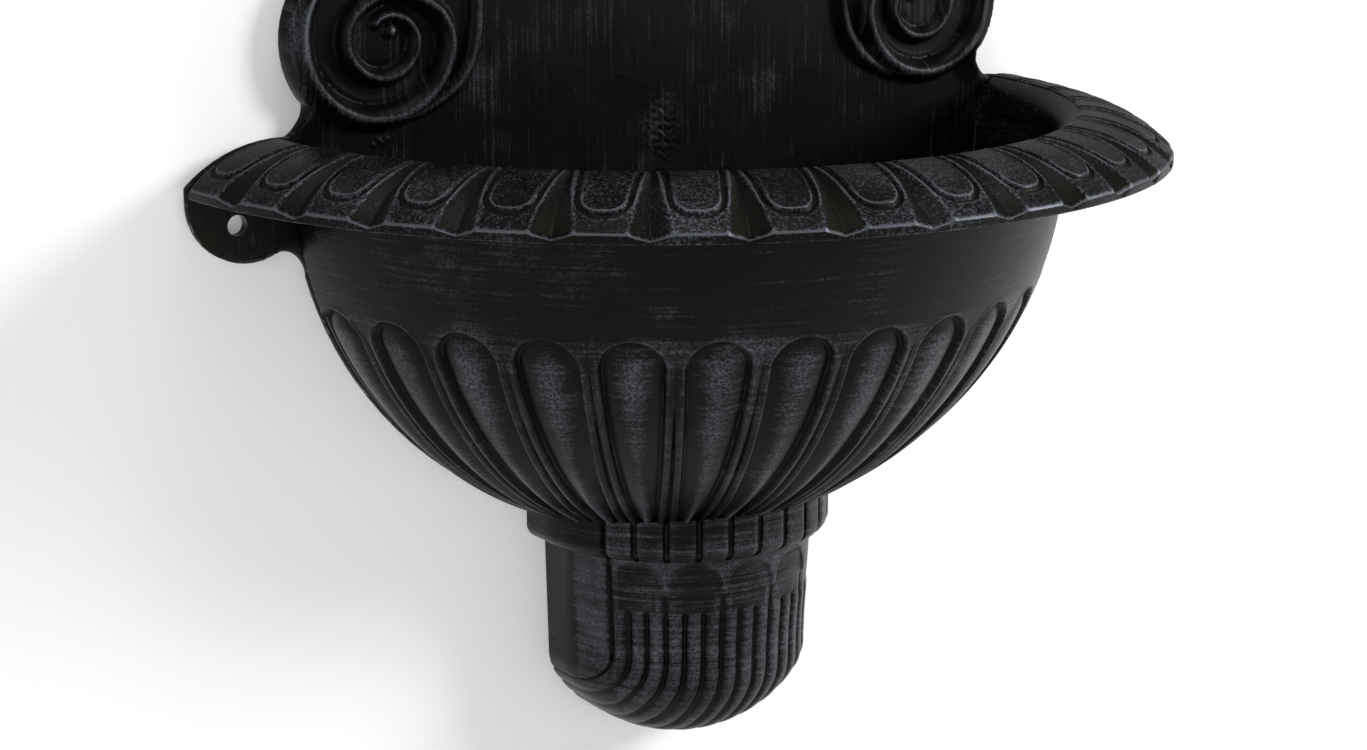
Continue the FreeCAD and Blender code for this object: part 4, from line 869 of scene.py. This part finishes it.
def panel_relief(p, edge):
    """Height of the panel's front over its plain plate, and the wear with painted highlights on the volute's
    crests and eye. p has X made positive.
    """
    x, z = p[:, 0], p[:, 1]
    h = np.zeros(len(p))
    wear = np.full(len(p), 0.15)
    vx, vz = VOLUTE
    rv = np.hypot(x - vx, z - vz)
    # volute: one strand winds out from a hook round the eye, and a second joins it from above
    coil = spiral(VOLUTE, COIL, 900)
    along = np.linspace(COIL[0][0], COIL[-1][0], len(coil))
    coil_w = np.interp(along, [-100.0, 0.0, 260.0, 380.0, 600.0, 690.0], [3.0, 4.0, 4.0, 5.4, 5.4, 3.4])
    coil_h = np.interp(along, [-100.0, 0.0, 260.0, 380.0, 600.0, 690.0], [3.6, 5.6, 6.0, 7.8, 7.0, 0.6])
    tail = smooth_line(TAIL)
    tail_w = np.interp(tail[:, 1], [4.0, 18.0, 80.0, 187.0], [3.0, 4.4, 4.4, 2.4])
    tail_h = np.interp(tail[:, 1], [4.0, 18.0, 80.0, 187.0], [3.6, 5.2, 4.4, 1.2])
    ring_h, ring_near = strand(p, coil, coil_w, coil_h, 0.85)
    tail_h, tail_near = strand(p, tail, tail_w, tail_h)
    re = np.hypot(x - EYE[0], z - EYE[1])
    eye = dome(re, 3.6, 4.6, 0.7)
    side = step(0.45, 0.88, (x - vx) / np.maximum(rv, 1.0))
    flank = np.clip(7.0 - 0.24 * (rv - 33.0), 0.0, 7.0) * side * (rv > 33.0)
    ledge = 0.3 * bump(rv - 25.4, 1.6) * step(-4.0, -14.0, z - vz)
    dish = 1.0 * step(16.0, 9.0, rv)
    strands = np.maximum(np.maximum(ring_h, tail_h), np.maximum(eye, flank))
    h = np.maximum(h, (strands ** 3 + (ledge + dish + 0.4) ** 3) ** (1.0 / 3.0) - 0.4)
    # rubbed paint plus painted highlights: bright lines along the strands' crests and a bright spot on the
    # eye bead
    wear = wear + 0.66 * np.maximum(ring_near, 0.8 * tail_near) + 0.7 * bump(re, 1.6)
    wear = wear + 0.2 * dish
    wear = wear + 0.16 * step(0.6, 3.0, flank) * step(-14.0, 6.0, z - vz) * step(41.0, 37.5, rv)
    # neck bead, upper scroll, shell crest and the ring round the tap
    rs = np.hypot(x - SCROLL[0], z - SCROLL[1])
    bead = bump(edge - 7.0, 1.7) * step(88.0, 120.0, z) * (rs > 25.0)
    scroll_line = spiral(SCROLL, [(-90.0, 24.0), (90.0, 20.5), (270.0, 17.0), (450.0, 13.0), (630.0, 9.5)])
    scroll, scroll_near = strand(p, scroll_line, 2.6, 4.2)
    up = z - SHELL_ROOT_Z
    rc, ac = np.hypot(x, up), np.degrees(np.arctan2(x, up))
    reach = np.interp(rc, [8.0, 30.0, 66.0, 84.0], [0.0, 1.0, 1.0, 0.0])
    rib = np.cos(ac / 12.6 * math.pi) * 0.5 + 0.5
    fan_zone = reach * step(96.0, 84.0, np.abs(ac))
    shell_h = (1.2 + 3.0 * np.abs(rib) ** 0.7 * np.clip(rc / 60.0, 0.15, 1.0)) * fan_zone
    boss = dome(rc, 10.0, 4.6, 0.6)
    rt = np.hypot(x, z - TAP_Z)
    medal = 2.5 * step(40.0, 38.4, rt) + 1.3 * bump(rt - 36.5, 1.5) + 0.8 * bump(rt - 31.0, 1.0)
    top = np.maximum.reduce([1.6 * bead, scroll * (rs < 27.0), shell_h, boss * (z > 290), medal])
    h = np.maximum(h, top)
    wear = wear + 0.3 * step(1.0, 3.4, top) + 0.1 * fan_zone - 0.15 * fan_zone * (rib < 0.2)
    wear = wear + 0.2 * scroll_near
    # the cast skin is a little uneven, and the front edge is rounded
    fine = np.sin(x * 0.11 + 1.3) * np.sin(z * 0.093) * 0.12 + np.sin(x * 0.031 - z * 0.043) * 0.15
    drop = np.clip(1.0 - edge / 2.4, 0.0, 1.0)
    h = h + fine * step(0.0, 8.0, edge) - 1.5 * (1.0 - np.sqrt(np.maximum(1.0 - drop ** 2, 0.0)))
    wear = wear + 0.35 * bump(edge - 0.9, 0.9) * (z > 5.0)
    wear = np.where(z < 4.0, wear * np.interp(z, [-60.0, 4.0], [0.35, 0.75]), wear)
    return h, np.clip(wear, 0.0, 1.0)


# small flaws of the casting on the panel
PIPS = ((-138.7, -6.1), (-136.1, -4.4), (-132.5, -4.2), (-134.3, -5.7), (-45.5, 16.9), (-59.2, -2.0))
SEAM = ((-28.0, 15.4), (-22.6, 14.4), (-6.3, 7.2), (2.0, -0.6), (6.6, -7.6), (9.4, -16.0))


def cast_marks(x, z):
    """Height and wear of pips, a faint curved seam and a rough patch below the tap."""
    h = np.zeros(len(x))
    for px, pz in PIPS:
        h += 0.7 * bump(np.hypot(x - px, z - pz), 0.8)
    d, _ = nearest(np.stack([x, z], -1), smooth_line(SEAM), 4.0)
    h += 0.05 * bump(d, 0.9)
    patch = bump(np.hypot((x + 1.0) / 10.0, (z + 10.0) / 19.0), 0.75)
    ripple = np.sin((z + 0.25 * x - 0.03 * x * x) * 1.7 + np.sin(x * 0.9) * 1.6) * np.sin(x * 0.7 + z * 0.33)
    return h + 0.28 * patch * ripple, 0.3 * patch * (0.5 + 0.5 * ripple)


def panel_outline(loop):
    """The panel's outline, a little narrower round the roll of each volute."""
    outline = resample(loop, 1.3)
    for mirror in (-1, 1):
        dx, dz = outline[:, 0] * mirror - VOLUTE[0], outline[:, 1] - VOLUTE[1]
        far = np.hypot(dx, dz)
        pull = NARROWER * step(0.3, 0.8, dx / np.maximum(far, 1.0)) * step(50.0, 45.0, far)
        outline -= (pull / np.maximum(far, 1.0))[:, None] * np.stack([dx * mirror, dz], -1)
    return outline


def panel_grid(low, high):
    """Points over the panel in staggered rows, close together where there is carving."""
    places = []
    for spacing, fine in ((COARSE, False), (FINE, True)):
        xs = np.arange(0.0, high[0], spacing)
        zs = np.arange(low[1], high[1], spacing * 0.87)
        gx, gz = np.meshgrid(xs, zs)
        gx = gx + (np.arange(len(zs)) % 2)[:, None] * spacing / 2
        x, z = gx.ravel(), gz.ravel()
        busy = np.hypot(x - VOLUTE[0], z - VOLUTE[1]) < 48.0
        busy |= (np.abs(x - 93.0) < 8.0) & (z > 4.0) & (z < 190.0)
        busy |= np.hypot(x - SCROLL[0], z - SCROLL[1]) < 29.0
        busy |= (z > 296.0) & (x < 76.0)
        busy |= np.abs(np.hypot(x, z - TAP_Z) - 35.0) < 7.0
        busy |= (x < 30.0) & (np.abs(z + 7.0) < 26.0)
        keep = (busy == fine)
        places.append(np.stack([x[keep], z[keep]], -1))
    grid = np.vstack(places)
    grid = grid[grid[:, 0] > 0.3]
    return np.vstack([grid, grid * (-1.0, 1.0)])


def make_panel():
    loops = face_loops("back_panel", 0.0)
    outline = panel_outline(loops[0])
    holes = [resample(ring, 0.9) for ring in loops[1:]]

    def on_panel(points):
        ok = inside(points, outline)
        for ring in holes:
            ok &= ~inside(points, ring)
        return ok

    grid = panel_grid(outline.min(0), outline.max(0))
    grid = grid[on_panel(grid)]
    border = np.vstack([outline] + holes)
    away, _ = nearest(grid, border, 3.0)
    grid = grid[away > 0.75]
    edges, start = [], 0
    for ring in [outline] + holes:
        n = len(ring)
        edges += [(start + i, start + (i + 1) % n) for i in range(n)]
        start += n
    flat = np.vstack([border, grid])
    verts, _, tris, _, _, _ = delaunay_2d_cdt([tuple(v) for v in flat], edges, [], 1, 1e-5)
    flat = np.array([(v[0], v[1]) for v in verts])
    tris = np.array([t for t in tris if len(t) == 3])
    tris = tris[on_panel(flat[tris].mean(1))]
    edge, _ = nearest(flat, resample(outline.tolist(), 0.6), 12.0)
    h, wear = panel_relief(np.stack([np.abs(flat[:, 0]), flat[:, 1]], -1), edge)
    mark_h, mark_wear = cast_marks(flat[:, 0], flat[:, 1])
    h, wear = h + mark_h, np.clip(wear + mark_wear, 0.0, 1.0)
    n = len(flat)
    front = np.stack([flat[:, 0], -(PANEL_T + h), flat[:, 1]], -1)
    back = np.stack([flat[:, 0], np.zeros(n), flat[:, 1]], -1)
    # every triangle turned the same way, then walls along the free edges
    a, b, c = flat[tris[:, 0]], flat[tris[:, 1]], flat[tris[:, 2]]
    turn = (b[:, 0] - a[:, 0]) * (c[:, 1] - a[:, 1]) - (b[:, 1] - a[:, 1]) * (c[:, 0] - a[:, 0])
    tris = np.where((turn > 0)[:, None], tris, tris[:, ::-1])
    sides = np.vstack([tris[:, [0, 1]], tris[:, [1, 2]], tris[:, [2, 0]]])
    seen, count = np.unique(np.sort(sides, axis=1), axis=0, return_counts=True)
    free = {tuple(e) for e in seen[count == 1]}
    walls = []
    for t in tris:
        for p, q in ((t[0], t[1]), (t[1], t[2]), (t[2], t[0])):
            if (min(p, q), max(p, q)) in free:
                walls.append([int(q), int(p), int(p) + n, int(q) + n])
    faces = tris.tolist() + (tris[:, ::-1] + n).tolist() + walls
    flow = np.stack([flat[:, 1] * MM, flat[:, 0] * MM], -1)
    return new_object("panel_relief", np.vstack([front, back]), faces, cast,
                      np.concatenate([wear, np.full(n, 0.1)]), np.vstack([flow, flow]), 62.0)


panel = make_panel()
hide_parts("back_panel")

# ---------------------------------------------------------------- floor, lights and camera


def stage_material(name, pale, near, far, picture_only):
    """A pale ground that stays white in the picture and takes the object's shadow.

    It is seen from its front alone, so that it never hides the object from behind or below."""
    n = Nodes(name)
    place = n.node("NewGeometry").outputs["Position"]
    cloud = n.noise(place, 3.0, 3.0, 0.5)
    away = n.node("VectorMath", {0: place}, operation="LENGTH").outputs["Value"]
    glow = n.node("MapRange", {"Value": away, "From Min": 0.38, "From Max": 0.9,
                               "To Min": near, "To Max": far})
    path = n.node("LightPath")
    rays = [path.outputs[kind] for kind in ("Is Camera Ray", "Is Glossy Ray", "Is Transmission Ray")]
    mirrored = n.math("MULTIPLY", n.math("MAXIMUM", rays[1], rays[2]), 0.6)
    seen = n.math("MAXIMUM", rays[0], mirrored)
    n.shader.inputs["Emission Color"].default_value = (1.0, 1.0, 1.0, 1.0)
    n.set(Base_Color=n.mix(cloud, (pale,) * 3, (pale + 0.03,) * 3), Roughness=0.9,
          Emission_Strength=n.math("MULTIPLY", seen, glow.outputs[0]))
    back_side = n.node("NewGeometry").outputs["Backfacing"]
    front = n.math("SUBTRACT", rays[0] if picture_only else 1.0, back_side, clamp=True)
    shown = n.node("MixShader", {0: front})
    n.put(shown.inputs[1], n.node("BsdfTransparent"))
    n.tree.links.new(n.shader.outputs[0], shown.inputs[2])
    n.tree.links.new(shown.outputs[0], n.tree.nodes["Material Output"].inputs["Surface"])
    return n.material


def ground(name, corners, material):
    mesh = bpy.data.meshes.new(name)
    mesh.from_pydata(corners, [], [(0, 1, 2, 3)])
    mesh.materials.append(material)
    obj = bpy.data.objects.new(name, mesh)
    bpy.context.scene.collection.objects.link(obj)


# in metres
GROUND_Z, FLOOR_HALF = -0.36, 9.0
WALL_Y, WALL_HALF, WALL_TOP_Z = 0.001, 1.2, 0.9
ground("floor", [(-FLOOR_HALF, -FLOOR_HALF, GROUND_Z), (FLOOR_HALF, -FLOOR_HALF, GROUND_Z),
                 (FLOOR_HALF, FLOOR_HALF, GROUND_Z), (-FLOOR_HALF, FLOOR_HALF, GROUND_Z)],
       stage_material("pale_floor", 0.9, 0.5, 0.85, False))
ground("wall", [(-WALL_HALF, WALL_Y, GROUND_Z), (WALL_HALF, WALL_Y, GROUND_Z),
                (WALL_HALF, WALL_Y, WALL_TOP_Z), (-WALL_HALF, WALL_Y, WALL_TOP_Z)],
       stage_material("pale_wall", 0.8, 0.2, 0.7, True))


def area(name, place, target, size, watts):
    lamp = bpy.data.lights.new(name, "AREA")
    lamp.shape, lamp.size, lamp.size_y, lamp.energy = "RECTANGLE", size[0], size[1], watts
    obj = bpy.data.objects.new(name, lamp)
    way = Vector(place) - Vector(target)
    obj.rotation_mode = "QUATERNION"
    obj.rotation_quaternion = way.to_track_quat("Z", "Y")
    obj.location = place
    bpy.context.scene.collection.objects.link(obj)


area("key", (1.95, -1.5, 0.85), (0, -0.05, -0.05), (0.8, 0.8), 56.0)
area("left", (-1.9, -1.0, 0.5), (0, -0.05, -0.08), (0.4, 1.2), 7.0)
area("top", (-0.1, -0.5, 2.1), (0, -0.1, 0), (1.2, 0.7), 13.0)

world = bpy.data.worlds.new("room")
world.use_nodes = True
tree = world.node_tree
back = tree.nodes["Background"]
light_path = tree.nodes.new("ShaderNodeLightPath")
seen = tree.nodes.new("ShaderNodeMix")
seen.data_type = "FLOAT"
tree.links.new(light_path.outputs["Is Camera Ray"], seen.inputs["Factor"])
ROOM_LIGHT, WHITE = 0.4, 1.0
seen.inputs["A"].default_value = ROOM_LIGHT
seen.inputs["B"].default_value = WHITE
tree.links.new(seen.outputs[0], back.inputs["Strength"])
back.inputs["Color"].default_value = (1.0, 1.0, 1.0, 1.0)
bpy.context.scene.world = world

camera_data = bpy.data.cameras.new("camera")
camera_data.sensor_width = 36.0
camera_data.lens = 78.879
camera_data.shift_x = -0.0489
camera_data.shift_y = -0.0014
camera = bpy.data.objects.new("camera", camera_data)
to_right = (0.8268685, -0.5623791, 0.0042706)
upward = (0.1253013, 0.1916232, 0.9734373)
backward = (-0.5482591, -0.8043695, 0.2289140)
stand = (-0.685211, -1.076962, 0.181028)
camera.matrix_world = Matrix((*zip(to_right, upward, backward, stand), (0.0, 0.0, 0.0, 1.0)))
bpy.context.scene.collection.objects.link(camera)
bpy.context.scene.camera = camera
bpy.context.scene.view_settings.view_transform = "Standard"
